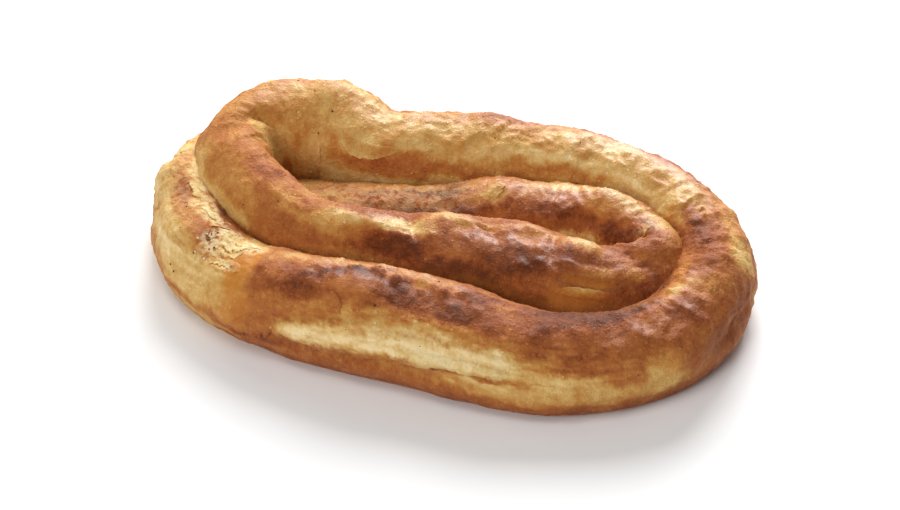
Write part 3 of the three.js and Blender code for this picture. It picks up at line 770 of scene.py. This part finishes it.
def paintCrust(mesh):
    place = placesOf(mesh)
    along, around, across = place["along"], place["around"], place["across"]
    size = browning["warpSize"]
    place["warpAlong"] = layeredNoise(along / size, across / size, 41, 5, 0.7)
    place["warpAcross"] = layeredNoise(along / size, across / size, 47, 5, 0.7)
    bake = np.interp(along, *np.array(browning["stretches"]).T)
    for row in browning["patches"]:
        bake += (row[4] - bake) * patchWeight(place, row) * browning["cover"]
    for row in browning["paintedLightAndBrowning"]:
        bake += row[4] * patchWeight(place, row)
    bake += sum(
        share * layeredNoise(along / length, across / width, seed)
        for share, length, width, seed in browning["blotches"]
    )
    lines = layeredNoise((along + 0.4 * across) / 11, across / 1.4, 83, 3, 0.7)
    clouds = layeredNoise(along / 24, across / 11, 91, 3)
    for name, pattern in (("leafStreaks", lines), ("clouds", clouds)):
        for row in browning[name]:
            bake += row[4] * patchWeight(place, row) * pattern
    bake += browning["raisedShare"] * np.clip(readLayer(mesh, "raised"), -1, 1)
    writeLayer(mesh, "bake", np.clip(bake, 0, 1))
    writeLayer(mesh, "rough", smoothStep(6, 30, aboveFoot(around)) * smoothStep(0, 12, along))
    for name in ("amberAndGlow", "dry", "gloss"):
        layer = np.zeros(along.shape)
        for row in browning[name]:
            layer = np.maximum(layer, row[4] * patchWeight(place, row))
        writeLayer(mesh, name, layer)


# Small helpers for node trees.
def addNode(tree, kind, place=(0, 0), **settings):
    node = tree.nodes.new(kind)
    node.location = place
    for name, value in settings.items():
        setattr(node, name, value)
    return node


def feed(tree, node, **inputs):  # each input is a value or another node's output
    for name, value in inputs.items():
        socket = node.inputs[int(name[1:])] if name[0] == "_" else node.inputs[name]
        if isinstance(value, bpy.types.NodeSocket):
            tree.links.new(value, socket)
        else:
            socket.default_value = value
    return node


def calculate(tree, operation, first, second=0.0, third=None, clamp=False):
    node = addNode(tree, "ShaderNodeMath", operation=operation, use_clamp=clamp)
    feed(tree, node, _0=first, _1=second)
    if third is not None:
        feed(tree, node, _2=third)
    return node.outputs[0]


def attribute(tree, name):
    return addNode(tree, "ShaderNodeAttribute", attribute_name=name).outputs["Fac"]


def noise(tree, vector, scale, detail=3.0, roughness=0.55, distortion=0.0, kind="FBM"):
    node = addNode(tree, "ShaderNodeTexNoise", noise_type=kind)
    feed(tree, node, Vector=vector, Scale=scale, Detail=detail, Roughness=roughness, Distortion=distortion)
    return node.outputs["Fac"]


def dotField(tree, vector, scale, shrink):  # soft dots, and a random colour for each
    node = addNode(tree, "ShaderNodeTexVoronoi", feature="F1")
    feed(tree, node, Vector=vector, Scale=scale, Randomness=1.0)
    faded = calculate(tree, "MULTIPLY", node.outputs["Distance"], shrink)
    return calculate(tree, "SUBTRACT", 1.0, faded, clamp=True), node.outputs["Color"]


def colourMix(tree, kind, share, first, second):
    node = addNode(tree, "ShaderNodeMix", data_type="RGBA", blend_type=kind)
    feed(tree, node, _0=share, _6=first, _7=second)
    return node.outputs[2]


def ramp(tree, value, stops):
    node = addNode(tree, "ShaderNodeValToRGB")
    elements = node.color_ramp.elements
    while len(elements) > 1:
        elements.remove(elements[-1])
    for i, (position, colour) in enumerate(stops):
        element = elements[0] if i == 0 else elements.new(position)
        element.position = position
        element.color = (*colour, 1)
    feed(tree, node, Fac=value)
    return node.outputs["Color"]


crustFinish = {
    "bakeColours": [
        (0.0, (0.86, 0.66, 0.36)),  # pale cream
        (0.12, (0.75, 0.51, 0.21)),
        (0.26, (0.62, 0.37, 0.115)),
        (0.42, (0.52, 0.232, 0.056)),  # golden
        (0.56, (0.43, 0.152, 0.038)),
        (0.7, (0.345, 0.102, 0.028)),  # orange brown
        (0.85, (0.24, 0.064, 0.019)),  # red brown
        (1.0, (0.13, 0.036, 0.014)),  # dark brown
    ],
    "patterns": {  # scale, detail, roughness, distortion, and share in the mottling
        "sand": (1500, 2, 0.6, 0, 0.2), "fine": (620, 3, 0.65, 0, 0.3),
        "medium": (240, 4, 0.6, 0.3, 0.3), "broad": (90, 2, 0.5, 0.4, 0.2),
    },
    "grit": (520, 2.6),  # scale of the dots, and how small they are
    "glintBlisters": (380, 4.2, 0.72),  # the same, and the share of them that is left out; the dots left in are painted paler as glints on tiny blisters, and rise in the bump
    "amberAndGlowColour": (0.52, 0.195, 0.03),
    "dryColour": (0.84, 0.67, 0.37),
    "roughness": 0.42,
    "specular": 0.13,
    "coat": (0.0, 0.62),  # where the gloss is lowest and where it is highest
    "coatRoughness": 0.42,
    "subsurface": 0.08,
}


def crustMaterial(finish):
    material = bpy.data.materials.new("browned crust")
    material.use_nodes = True
    tree = material.node_tree
    shader = tree.nodes["Principled BSDF"]
    position = addNode(tree, "ShaderNodeTexCoord").outputs["Object"]
    patterns = {name: noise(tree, position, *row[:4]) for name, row in finish["patterns"].items()}
    gritDots = dotField(tree, position, *finish["grit"])[0]
    speckScale, speckShrink, leftOut = finish["glintBlisters"]
    dots, dotColour = dotField(tree, position, speckScale, speckShrink)
    chosen = addNode(tree, "ShaderNodeSeparateColor")
    feed(tree, chosen, Color=dotColour)
    above = calculate(tree, "SUBTRACT", chosen.outputs[0], leftOut)
    few = calculate(tree, "MULTIPLY", above, 8.0, clamp=True)
    glintBlisters = calculate(tree, "MULTIPLY", dots, few)
    bake = attribute(tree, "bake")
    mottle = 0.0
    for name, row in finish["patterns"].items():
        centred = calculate(tree, "SUBTRACT", patterns[name], 0.5)
        mottle = calculate(tree, "MULTIPLY_ADD", centred, row[4], mottle)
    darkness = calculate(tree, "MULTIPLY_ADD", bake, 0.6, 0.75)
    bake = calculate(tree, "MULTIPLY_ADD", mottle, darkness, bake)
    bake = calculate(tree, "MULTIPLY_ADD", gritDots, -0.08, bake)
    # the chosen dots are painted pale: painted glints on tiny blisters
    bake = calculate(tree, "MULTIPLY_ADD", glintBlisters, -0.4, bake, True)
    colour = ramp(tree, bake, finish["bakeColours"])
    # oily amber places, and the painted glow in the groove
    amberAndGlow = calculate(tree, "MULTIPLY", attribute(tree, "amberAndGlow"), 0.75)
    colour = colourMix(tree, "MIX", amberAndGlow, colour, (*finish["amberAndGlowColour"], 1))
    dryNoise = calculate(tree, "SUBTRACT", noise(tree, position, 420, 3, 0.6), 0.47)
    dryPatch = calculate(tree, "MULTIPLY_ADD", dryNoise, 7.0, 0.5, True)
    dry = calculate(tree, "MULTIPLY", attribute(tree, "dry"), dryPatch)
    colour = colourMix(tree, "MIX", dry, colour, (*finish["dryColour"], 1))
    tree.links.new(colour, shader.inputs["Base Color"])
    rough = calculate(tree, "MULTIPLY_ADD", patterns["medium"], 0.3, finish["roughness"] - 0.15)
    rough = calculate(tree, "MULTIPLY_ADD", attribute(tree, "dry"), 0.3, rough)
    rough = calculate(tree, "MULTIPLY_ADD", attribute(tree, "amberAndGlow"), -0.14, rough)
    gloss = attribute(tree, "gloss")
    lowest, highest = finish["coat"]
    coat = calculate(tree, "MULTIPLY_ADD", gloss, highest - lowest, lowest)
    tree.links.new(coat, shader.inputs["Coat Weight"])
    rough = calculate(tree, "MULTIPLY_ADD", calculate(tree, "SUBTRACT", 1.0, gloss), 0.16, rough)
    tree.links.new(rough, shader.inputs["Roughness"])
    shader.inputs["Specular IOR Level"].default_value = finish["specular"]
    shader.inputs["Coat Roughness"].default_value = finish["coatRoughness"]
    shader.inputs["Subsurface Weight"].default_value = finish["subsurface"]
    shader.inputs["Subsurface Radius"].default_value = (0.003, 0.0012, 0.0006)
    shader.inputs["Subsurface Scale"].default_value = 1.0
    creases = noise(tree, position, 210, 2, 0.5, 0.6, "RIDGED_MULTIFRACTAL")
    height = calculate(tree, "MULTIPLY", creases, 0.4)
    height = calculate(tree, "MULTIPLY_ADD", patterns["fine"], 0.55, height)
    height = calculate(tree, "MULTIPLY_ADD", gritDots, 0.35, height)
    height = calculate(tree, "MULTIPLY_ADD", glintBlisters, 0.5, height)
    height = calculate(tree, "MULTIPLY_ADD", patterns["sand"], 0.35, height)
    smoothing = calculate(tree, "MULTIPLY_ADD", attribute(tree, "amberAndGlow"), -0.75, 1.0)
    bump = addNode(tree, "ShaderNodeBump")
    feed(tree, bump, Height=calculate(tree, "MULTIPLY", height, smoothing), Strength=0.85, Distance=0.001)
    tree.links.new(bump.outputs["Normal"], shader.inputs["Normal"])
    return material


def newTree(name, inputs):
    tree = bpy.data.node_groups.new(name, "GeometryNodeTree")
    tree.interface.new_socket("Geometry", in_out="INPUT", socket_type="NodeSocketGeometry")
    tree.interface.new_socket("Geometry", in_out="OUTPUT", socket_type="NodeSocketGeometry")
    for label, kind in inputs:
        tree.interface.new_socket(label, in_out="INPUT", socket_type="NodeSocket" + kind)
    return tree, addNode(tree, "NodeGroupInput").outputs, addNode(tree, "NodeGroupOutput").inputs


def endTree(tree, geometry, material, result):
    real = feed(tree, addNode(tree, "GeometryNodeRealizeInstances"), Geometry=geometry)
    finished = addNode(tree, "GeometryNodeSetMaterial")
    feed(tree, finished, Geometry=real.outputs[0], Material=material)
    tree.links.new(finished.outputs[0], result["Geometry"])


def bakeTree(thing, tree, values):  # runs the tree on a thing and gives the result as a plain mesh
    modifier = thing.modifiers.new(tree.name, "NODES")
    modifier.node_group = tree
    for item in tree.interface.items_tree:
        if item.in_out == "INPUT" and item.name in values:
            modifier[item.identifier] = values[item.name]
    evaluated = thing.evaluated_get(bpy.context.evaluated_depsgraph_get())
    made = bpy.data.meshes.new_from_object(evaluated)
    thing.modifiers.remove(modifier)
    return made


def namedFloat(tree, name):
    node = addNode(tree, "GeometryNodeInputNamedAttribute", data_type="FLOAT")
    feed(tree, node, Name=name)
    return node.outputs["Attribute"]


crustGrain = {"Wrinkle Rise": 0.00055, "Wrinkle Size": 0.0046, "Grain Rise": 0.0004, "Grain Size": 0.0021}


def grainTree():
    tree, given, result = newTree("crust grain", [
        ("Wrinkle Rise", "Float"), ("Wrinkle Size", "Float"), ("Grain Rise", "Float"),
        ("Grain Size", "Float"),
        ("Crust", "Material"),
    ])
    position = addNode(tree, "GeometryNodeInputPosition").outputs[0]
    normal = addNode(tree, "GeometryNodeInputNormal").outputs[0]
    wrinkle = noise(tree, position, calculate(tree, "DIVIDE", 1.0, given["Wrinkle Size"]), 2, 0.6, 1.6)
    grain = noise(tree, position, calculate(tree, "DIVIDE", 1.0, given["Grain Size"]), 1, 0.5, 0.4)
    rise = calculate(tree, "MULTIPLY", calculate(tree, "SUBTRACT", wrinkle, 0.5), given["Wrinkle Rise"])
    rise = calculate(tree, "MULTIPLY_ADD", calculate(tree, "SUBTRACT", grain, 0.5), given["Grain Rise"], rise)
    rise = calculate(tree, "MULTIPLY", rise, calculate(tree, "MULTIPLY", namedFloat(tree, "rough"), 2.0))
    offset = addNode(tree, "ShaderNodeVectorMath", operation="SCALE")
    feed(tree, offset, _0=normal, Scale=rise)
    moved = addNode(tree, "GeometryNodeSetPosition")
    feed(tree, moved, Geometry=given["Geometry"], Offset=offset.outputs[0])
    endTree(tree, moved.outputs[0], given["Crust"], result)
    return tree


def addPiece(name, mesh):
    piece = addObject(name, mesh)
    mesh.polygons.foreach_set("use_smooth", np.ones(len(mesh.polygons), bool))
    mesh.set_sharp_from_angle(angle=60 * degree)
    return piece


mesh = joinStretches()
mendPlaces(mesh)
paintCrust(mesh)
print("crust joined:", len(mesh.vertices), "points")
crustSkin = crustMaterial(crustFinish)
mesh.materials.clear()
mesh.materials.append(crustSkin)
rough = addObject("rough crust", mesh)
mesh = bakeTree(rough, grainTree(), {**crustGrain, "Crust": crustSkin})
bpy.data.objects.remove(rough)
pastry = addPiece("crust", mesh)
print("crust finished:", len(mesh.polygons), "faces")

# Torn and folded sheets of dough on the crust. Each has a root line, where it comes out of the crust,
# a free rim, lift of the rim and bulge in mm, how ragged the rim is in mm, and its bake and how dry it is.
doughSheets = {
    "fineness": 0.4,
    "thickness": 0.35,
    "sink": 0.6,  # of the root and the ends below the crust, in mm
    "search": 4,  # how far from the roll's plain form the crust is looked for, in mm
    "rimBakeAndHighlight": 0.14,  # how much darker the rim bakes, where a row has no value of its own at its end; a negative value at a row's end makes the rim paler, a painted highlight along a lit edge
    "sheets": [
        # orange fold over the front foot, beside the pale leaf
        ([(129, 176), (134, 163), (141, 153), (147, 154)], [(130, 193), (136, 186), (142, 182), (146, 170)],
         1.1, 0.9, 0.6, 0.6, 0.0),
        # fold along the lower front
        ([(188, 158), (204, 152), (221, 150), (242, 152)], [(188, 178), (208, 169), (223, 165), (242, 164)],
         0.8, 0.7, 0.3, 0.06, 0.3),
        # folded layer on the front

        ([(158, 116), (160, 126), (162, 138)], [(164, 113), (169, 123), (169, 139)],
         0.6, 0.3, 0.15, 0.56, 0.0),
        # torn whitish layers on the tail
        ([(109, 122), (115, 112), (120, 107), (128, 112)], [(111, 131), (117, 122), (122, 122), (129, 123)],
         0.4, 0.3, 0.9, 0.16, 0.5),

        ([(114, 118), (118, 108), (120, 105)], [(117, 121), (122, 120), (124, 117)],
         0.5, 0.2, 0.8, 0.06, 0.8),
        ([(110, 104), (116, 95), (123, 86)], [(114, 113), (119, 103), (124, 94)], 0.3, 0.2, 1.2, 0.08, 0.7),
        ([(107, 94), (113, 84), (122, 78)], [(111, 101), (117, 92), (124, 86)], 0.35, 0.2, 1.4, 0.06, 0.8),
        ([(103, 84), (108, 76), (114, 70)], [(106, 92), (112, 84), (118, 78)], 0.25, 0.2, 1.4, 0.12, 0.7),
        ([(110, 66), (119, 66), (127, 74)], [(112, 75), (120, 75), (128, 81)], 0.2, 0.2, 1.0, 0.06, 0.8),
        ([(97, 92), (99, 80), (104, 66)], [(101, 93), (103, 81), (107, 69)], 0.5, 0.3, 0.4, 0.42, 0.1),
        ([(88, 130), (97, 128), (104, 132)], [(89, 137), (97, 136), (105, 138)], 0.3, 0.4, 0.3, 0.3, 0.1),
        ([(46, 96), (49, 108), (47, 122)], [(42, 96), (44, 108), (42, 122)], 0.9, 0.3, 0.8, 0.1, 0.6),
        ([(84, 78), (90, 71), (96, 68)], [(85, 87), (91, 81), (98, 77)], 0.4, 0.4, 0.6, 0.04, 0.9),
        ([(66, 80), (73, 76), (80, 74)], [(66, 90), (73, 87), (80, 84)], 0.4, 0.4, 0.6, 0.1, 0.7),
        # sheet with a tip on the inner side of the back roll
        ([(520, 58), (512, 52), (502, 48), (492, 52)], [(517, 44), (511, 30), (504, 29), (495, 42)],
         0.5, 0.4, 0.4, 0.42, 0.0, -0.3),
        # thin film over the burst blister; its paler rim is a painted highlight along the lit edge

        ([(741, 146), (750, 147), (760, 143)], [(743, 138), (751, 131), (759, 135)],
         1.1, 0.2, 0.15, 0.5, 0.0, -0.45),
        # edge of the sheet in the tight turn; its paler rim is a painted highlight where the edge catches the
        # light
        ([(799, 86), (798, 74), (788, 62), (776, 78)], [(793, 86), (791, 72), (781, 62), (768, 82)],
         0.45, 0.25, 0.3, 0.5, 0.0, -0.25),
        # layers on the back roll
        ([(868, 98), (867, 84), (869, 72)], [(861, 100), (859, 86), (862, 70)], 0.6, 0.3, 0.4, 0.34, 0.2),
    ],
}


def sheetGrid(root, rim):
    girth = np.interp([root[0][0], rim[-1][0]], route["along"], girthRadius).mean()
    toMm = np.array([1, degree * girth])
    root, rim = np.array(root, float), np.array(rim, float)
    length = np.linalg.norm(np.diff(rim * toMm, axis=0), axis=1).sum()
    breadth = np.linalg.norm((rim.mean(axis=0) - root.mean(axis=0)) * toMm)
    columns = max(6, round(length / doughSheets["fineness"]))
    rows = max(5, round(breadth / doughSheets["fineness"]))
    u = np.linspace(0, 1, columns + 1)
    return catmullRom(root, u), catmullRom(rim, u), u, np.linspace(0, 1, rows + 1), breadth


def crustNormals(places):
    step = 0.6
    points = [surfaceAt(places[..., 0] + a, places[..., 1] + h, False)[0] for a, h in
              ((step, 0), (-step, 0), (0, 3 * step), (0, -3 * step))]
    normals = np.cross(points[2] - points[3], points[0] - points[1])
    return normals / np.linalg.norm(normals, axis=-1, keepdims=True)


def addSheet(row, seed, tree, gathered):
    root, rim, lift, bulge, ragged, bake, dry, *own = row
    rimBakeAndHighlight = own[0] if own else doughSheets["rimBakeAndHighlight"]
    search = doughSheets["search"]
    rootLine, rimLine, u, v, breadth = sheetGrid(root, rim)
    shape = (len(u), len(v))
    wander = 1 + ragged / breadth * 2 * layeredNoise(u * 9, seed + 0 * u, seed, 3, 0.7)
    reach = v[None] * np.where(v[None] > 0.5, wander[:, None], 1)
    places = rootLine[:, None] * (1 - reach[..., None]) + rimLine[:, None] * reach[..., None]
    base = surfaceAt(places[..., 0], places[..., 1], False)[0]
    normals = crustNormals(places)
    crustRise = np.zeros(shape)
    for i, j in np.ndindex(shape):
        normal = Vector(normals[i, j])
        hit = tree.ray_cast(Vector(base[i, j]) * mm + normal * (search * mm), -normal, 2 * search * mm)
        crustRise[i, j] = search - hit[3] / mm if hit[0] is not None else 0
    for _ in range(3):
        padded = np.pad(crustRise, 1, mode="edge")
        beside = padded[:-2, 1:-1] + padded[2:, 1:-1] + padded[1:-1, :-2] + padded[1:-1, 2:]
        crustRise = (beside + 2 * crustRise) / 6
    ends = smoothStep(0, 0.16, u) * smoothStep(1, 0.84, u)
    sink = doughSheets["sink"]
    rise = (lift * v[None] ** 2.2 + bulge * np.sin(np.pi * v[None]) + 0 * u[:, None]) * ends[:, None]
    ripple = layeredNoise(places[..., 0] / 3, places[..., 1] / 10, seed + 5, 3)
    rise += 0.35 * ripple * v[None] * ends[:, None]
    rise -= sink * (1 - smoothStep(0, 0.25, v))[None] + sink * (1 - ends)[:, None]
    top = base + normals * (crustRise + rise)[..., None]
    thickness = doughSheets["thickness"] * (1.6 - v)[None] + 0 * u[:, None]
    bottom = top - normals * thickness[..., None]
    bottom[..., 2] = np.maximum(bottom[..., 2], 0.1)
    top[..., 2] = np.maximum(top[..., 2], 0.3)
    index = gathered["count"] + np.arange(top[..., 0].size * 2).reshape(2, *shape)
    upper, lower = index
    faces = []
    for corners in (
        (upper[:-1, :-1], upper[1:, :-1], upper[1:, 1:], upper[:-1, 1:]),
        (lower[:-1, :-1], lower[:-1, 1:], lower[1:, 1:], lower[1:, :-1]),
    ):
        faces.append(np.stack(corners, axis=2).reshape(-1, 4))
    lastRow, lastColumn = shape[0] - 1, shape[1] - 1
    loop = [(i, 0) for i in range(lastRow + 1)] + [(lastRow, j) for j in range(1, lastColumn + 1)]
    loop += [(i, lastColumn) for i in range(lastRow - 1, -1, -1)]
    loop += [(0, j) for j in range(lastColumn - 1, 0, -1)]
    walls = []
    for here, there in zip(loop, loop[1:] + loop[:1]):
        walls.append([upper[here], lower[here], lower[there], upper[there]])
    faces.append(np.array(walls))
    faces = np.vstack(faces)
    if np.cross(top[1, 0] - top[0, 0], top[0, 1] - top[0, 0]) @ normals[0, 0] < 0:
        faces = faces[:, ::-1]
    gathered["points"].append(np.concatenate([top.reshape(-1, 3), bottom.reshape(-1, 3)]))
    gathered["faces"] += faces.tolist()
    gathered["count"] += index.size
    middle = smoothStep(0, 0.35, u) * smoothStep(1, 0.65, u)
    for name, values in (
        ("along", places[..., 0]), ("around", places[..., 1]), ("raised", rise),
        ("ownBake", bake + rimBakeAndHighlight * v[None] ** 5 + 0 * rise), ("ownDry", dry + 0 * rise),
        ("ownShare", middle[:, None] * smoothStep(0, 0.5, v)[None]),
    ):
        gathered[name] += [values.reshape(-1), values.reshape(-1)]


def makeSheets(crust):
    points = [vertex.co.copy() for vertex in crust.vertices]
    tree = BVHTree.FromPolygons(points, [tuple(face.vertices) for face in crust.polygons])
    layers = ("along", "around", "raised", "ownBake", "ownDry", "ownShare")
    gathered = {"count": 0, **{name: [] for name in ("points", "faces", *layers)}}
    for seed, row in enumerate(doughSheets["sheets"]):
        addSheet(row, 60 + seed, tree, gathered)
    mesh = bpy.data.meshes.new("dough sheets")
    mesh.from_pydata((np.concatenate(gathered["points"]) * mm).tolist(), [], gathered["faces"])
    for name in ("along", "around", "raised"):
        writeLayer(mesh, name, np.concatenate(gathered[name]))
    paintCrust(mesh)
    share = 0.8 * np.concatenate(gathered["ownShare"])
    bake = readLayer(mesh, "bake") * (1 - share) + np.concatenate(gathered["ownBake"]) * share
    streaks = layeredNoise(readLayer(mesh, "along") / 3, readLayer(mesh, "around") / 9, 67)
    writeLayer(mesh, "bake", bake + 0.08 * streaks)
    writeLayer(mesh, "dry", np.maximum(readLayer(mesh, "dry"), np.concatenate(gathered["ownDry"]) * share))
    mesh.materials.append(crustSkin)
    return mesh


sheets = addPiece("doughSheets", makeSheets(mesh))
print("dough sheets:", len(sheets.data.polygons), "faces")

# Loose bits: pale flakes where the tail is torn, and burnt crumbs.
looseBits = {
    "flakyPlaces": [
        (112, 92, 20, 26, 1.0), (88, 80, 20, 10, 0.5), (44, 112, 12, 10, 0.4), (866, 80, 14, 8, 0.3),
    ],
    "flakes": {"Density": 60000.0, "Smallest": 0.0005, "Largest": 0.0013, "Seed": 4},
    "crumblyPlaces": [
        (303, 100, 660, 60, 0.5), (704, 100, 140, 60, 1.0), (180, 100, 110, 30, 0.7),
        (110, 100, 30, 30, 1.0),
    ],
    "crumbs": {"Density": 3400.0, "Smallest": 0.00025, "Largest": 0.0007, "Seed": 9},
    "burntPlaces": [  # along, around and size in mm of single burnt crumbs
        (105, 129, 0.8), (109, 112, 0.9), (110, 107, 1.1), (105, 88, 1.0), (104, 93, 0.7), (85, 101, 0.7),
        (98, 163, 0.9), (101, 166, 1.1), (543, 109, 0.9), (524, 64, 1.1), (531, 37, 0.9), (182, 119, 1.2),
        (629, 112, 1.0), (630, 118, 0.7), (628, 84, 0.7),
    ],
    "flakeColour": (0.82, 0.67, 0.40),
    "crumbColour": (0.085, 0.024, 0.010),
}


def plainFinish(name, colour, size, rough, gloss):
    material = bpy.data.materials.new(name)
    material.use_nodes = True
    tree = material.node_tree
    shader = tree.nodes["Principled BSDF"]
    position = addNode(tree, "ShaderNodeTexCoord").outputs["Object"]
    pattern = noise(tree, position, size, 3, 0.6)
    darker = tuple(part * 0.55 for part in colour)
    tree.links.new(ramp(tree, pattern, [(0.35, darker), (0.6, colour)]), shader.inputs["Base Color"])
    tree.links.new(calculate(tree, "MULTIPLY_ADD", pattern, 0.3, rough), shader.inputs["Roughness"])
    shader.inputs["Specular IOR Level"].default_value = gloss
    bump = addNode(tree, "ShaderNodeBump")
    feed(tree, bump, Height=pattern, Strength=0.5, Distance=0.0006)
    tree.links.new(bump.outputs["Normal"], shader.inputs["Normal"])
    return material


def bitShape(name, sides, flat, seed):  # an uneven bit about 1 mm across, flat or round
    draw = np.random.default_rng(seed)
    radii = 0.5 * draw.uniform(0.7, 1.15, sides)
    turns = 2 * np.pi * np.arange(sides) / sides
    rings = ((1.0, -0.12), (0.9, 0.12)) if flat else ((0.6, -0.3), (1.0, 0.05), (0.7, 0.34))
    points = []
    for share, height in rings:
        curl = 0.5 * (radii * np.cos(turns)) ** 2 if flat else 0
        x, y = radii * share * np.cos(turns), radii * share * np.sin(turns)
        points.append(np.stack([x, y, height + curl + 0 * turns], axis=1))
    count = sides * len(rings)
    points = np.vstack(points + [[[0, 0, rings[0][1]], [0, 0, rings[-1][1] * 1.1]]])
    faces = []
    for level in range(len(rings) - 1):
        for k in range(sides):
            a, b = level * sides + k, level * sides + (k + 1) % sides
            faces.append((a, b, b + sides, a + sides))
    for k in range(sides):
        faces.append((count, (k + 1) % sides, k))
        faces.append((count + 1, count - sides + k, count - sides + (k + 1) % sides))
    shape = bpy.data.meshes.new(name)
    shape.from_pydata(points.tolist(), [], faces)
    return addObject(name, shape)


def scatterTree(name, atVertices):
    tree, given, result = newTree(name, [
        ("Bit", "Object"), ("Density", "Float"), ("Smallest", "Float"), ("Largest", "Float"),
        ("Seed", "Int"),
        ("Skin", "Material"),
    ])
    turn = addNode(tree, "FunctionNodeRandomValue", data_type="FLOAT_VECTOR")
    feed(tree, turn, _0=(-0.3, -0.3, 0.0), _1=(0.3, 0.3, 6.28), Seed=given["Seed"])
    own = addNode(tree, "FunctionNodeRotateRotation", rotation_space="LOCAL")
    if atVertices:
        points, size = given["Geometry"], namedFloat(tree, "size")
        normal = addNode(tree, "GeometryNodeInputNormal").outputs[0]
        upright = addNode(tree, "FunctionNodeAlignRotationToVector", axis="Z")
        feed(tree, upright, Vector=normal)
        feed(tree, own, _0=upright.outputs[0], _1=turn.outputs[0])
    else:
        spread = addNode(tree, "GeometryNodeDistributePointsOnFaces")
        amount = calculate(tree, "MULTIPLY", namedFloat(tree, "amount"), given["Density"])
        feed(tree, spread, Mesh=given["Geometry"], Density=amount, Seed=given["Seed"])
        sizes = addNode(tree, "FunctionNodeRandomValue", data_type="FLOAT")
        feed(tree, sizes, _2=given["Smallest"], _3=given["Largest"], Seed=given["Seed"])
        points, size = spread.outputs["Points"], sizes.outputs[1]
        feed(tree, own, _0=spread.outputs["Rotation"], _1=turn.outputs[0])
    bit = feed(tree, addNode(tree, "GeometryNodeObjectInfo"), Object=given["Bit"])
    placed = addNode(tree, "GeometryNodeInstanceOnPoints")
    feed(tree, placed, Points=points, Instance=bit.outputs["Geometry"], Rotation=own.outputs[0], Scale=size)
    endTree(tree, placed.outputs[0], given["Skin"], result)
    return tree


def weighPlaces(mesh, rows):
    place = placesOf(mesh)
    place["warpAlong"] = place["warpAcross"] = 0 * place["along"]
    amount = np.max([row[4] * patchWeight(place, row) for row in rows], axis=0)
    writeLayer(mesh, "amount", amount * smoothStep(20, 40, aboveFoot(place["around"])))


def burntPoints(crust):
    along, around = readLayer(crust, "along"), readLayer(crust, "around")
    points = pointsOf(crust)
    mesh = bpy.data.meshes.new("burnt places")
    places, sizes = [], []
    for a, h, size in looseBits["burntPlaces"]:
        nearest = np.argmin((along - a) ** 2 + ((around - h) * 0.3) ** 2)
        places.append(points[nearest])
        sizes.append(size * mm)
    mesh.from_pydata(places, [], [])
    writeLayer(mesh, "size", sizes)
    return addObject("burnt places", mesh)


def joinMeshes(name, meshes):
    things = [addObject(name, part) for part in meshes]
    with bpy.context.temp_override(active_object=things[0], selected_editable_objects=things):
        bpy.ops.object.join()
    return things[0]


flakeSkin = plainFinish("dry flake", looseBits["flakeColour"], 700, 0.45, 0.3)
crumbSkin = plainFinish("burnt crumb", looseBits["crumbColour"], 900, 0.25, 0.5)
flake, crumb = bitShape("one flake", 7, True, 21), bitShape("one crumb", 6, False, 22)
weighPlaces(mesh, looseBits["flakyPlaces"])
flakes = addPiece("looseFlakes", bakeTree(
    pastry, scatterTree("flakes", False), {**looseBits["flakes"], "Bit": flake, "Skin": flakeSkin}))
weighPlaces(mesh, looseBits["crumblyPlaces"])
small = bakeTree(
    pastry, scatterTree("crumbs", False), {**looseBits["crumbs"], "Bit": crumb, "Skin": crumbSkin})
places = burntPoints(mesh)
large = bakeTree(places, scatterTree("burnt crumbs", True), {"Bit": crumb, "Seed": 3, "Skin": crumbSkin})
joined = joinMeshes("crumbs", [small, large])
crumbs = addPiece("burntCrumbs", joined.data)
for helper in (joined, flake, crumb, places):
    bpy.data.objects.remove(helper)
print("loose bits:", len(flakes.data.polygons), len(crumbs.data.polygons), "faces")

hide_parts("twisted_pastry")
for piece, slot in ((pastry, "crust"), (sheets, "crust"), (flakes, "pale_flake"), (crumbs, "burnt_crumb")):
    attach(piece, "root")


# Floor and light.
studio = {
    "floorSize": 6,
    "floorColour": (0.97, 0.97, 0.97),
    "world": 0.18,
    "lights": [  # name, azimuth and elevation, distance, size, watts, and whether the gloss shows it
        ("leftWindow", -125, 34, 1.3, 0.6, 2.5, True),
        ("backSoftbox", -168, 36, 1.3, 0.9, 22, True),
        ("rimStrip", -172, 15, 1.3, 0.9, 9, True),
        ("topFill", 20, 68, 1.4, 0.7, 4.5, False),
        ("frontFill", -15, 30, 1.8, 0.9, 13, False),
    ],
}


def makeFloor():
    half = studio["floorSize"] / 2
    mesh = bpy.data.meshes.new("floor")
    corners = [(-half, -half, 0), (half, -half, 0), (half, half, 0), (-half, half, 0)]
    mesh.from_pydata(corners, [], [(0, 1, 2, 3)])
    floor = addObject("floor", mesh)
    material = bpy.data.materials.new("studio floor")
    material.use_nodes = True
    shader = material.node_tree.nodes["Principled BSDF"]
    shader.inputs["Base Color"].default_value = (*studio["floorColour"], 1)
    shader.inputs["Roughness"].default_value = 0.9
    mesh.materials.append(material)


def addSoftbox(name, azimuth, elevation, distance, size, watts, glossy):
    back = directionAt(azimuth, elevation)
    data = bpy.data.lights.new(name, "AREA")
    data.shape = "DISK"
    data.size = size
    data.energy = watts
    light = addObject(name, data)
    light.location = back * distance
    light.visible_glossy = glossy
    light.rotation_euler = back.to_track_quat("Z", "Y").to_euler()


makeFloor()
for light in studio["lights"]:
    addSoftbox(*light)
world = bpy.data.worlds.new("studio")
world.use_nodes = True
world.node_tree.nodes["Background"].inputs["Color"].default_value = (1, 1, 1, 1)
world.node_tree.nodes["Background"].inputs["Strength"].default_value = studio["world"]
scene.world = world
world.cycles_visibility.glossy = False
scene.view_settings.view_transform = "Standard"
print("studio ready")
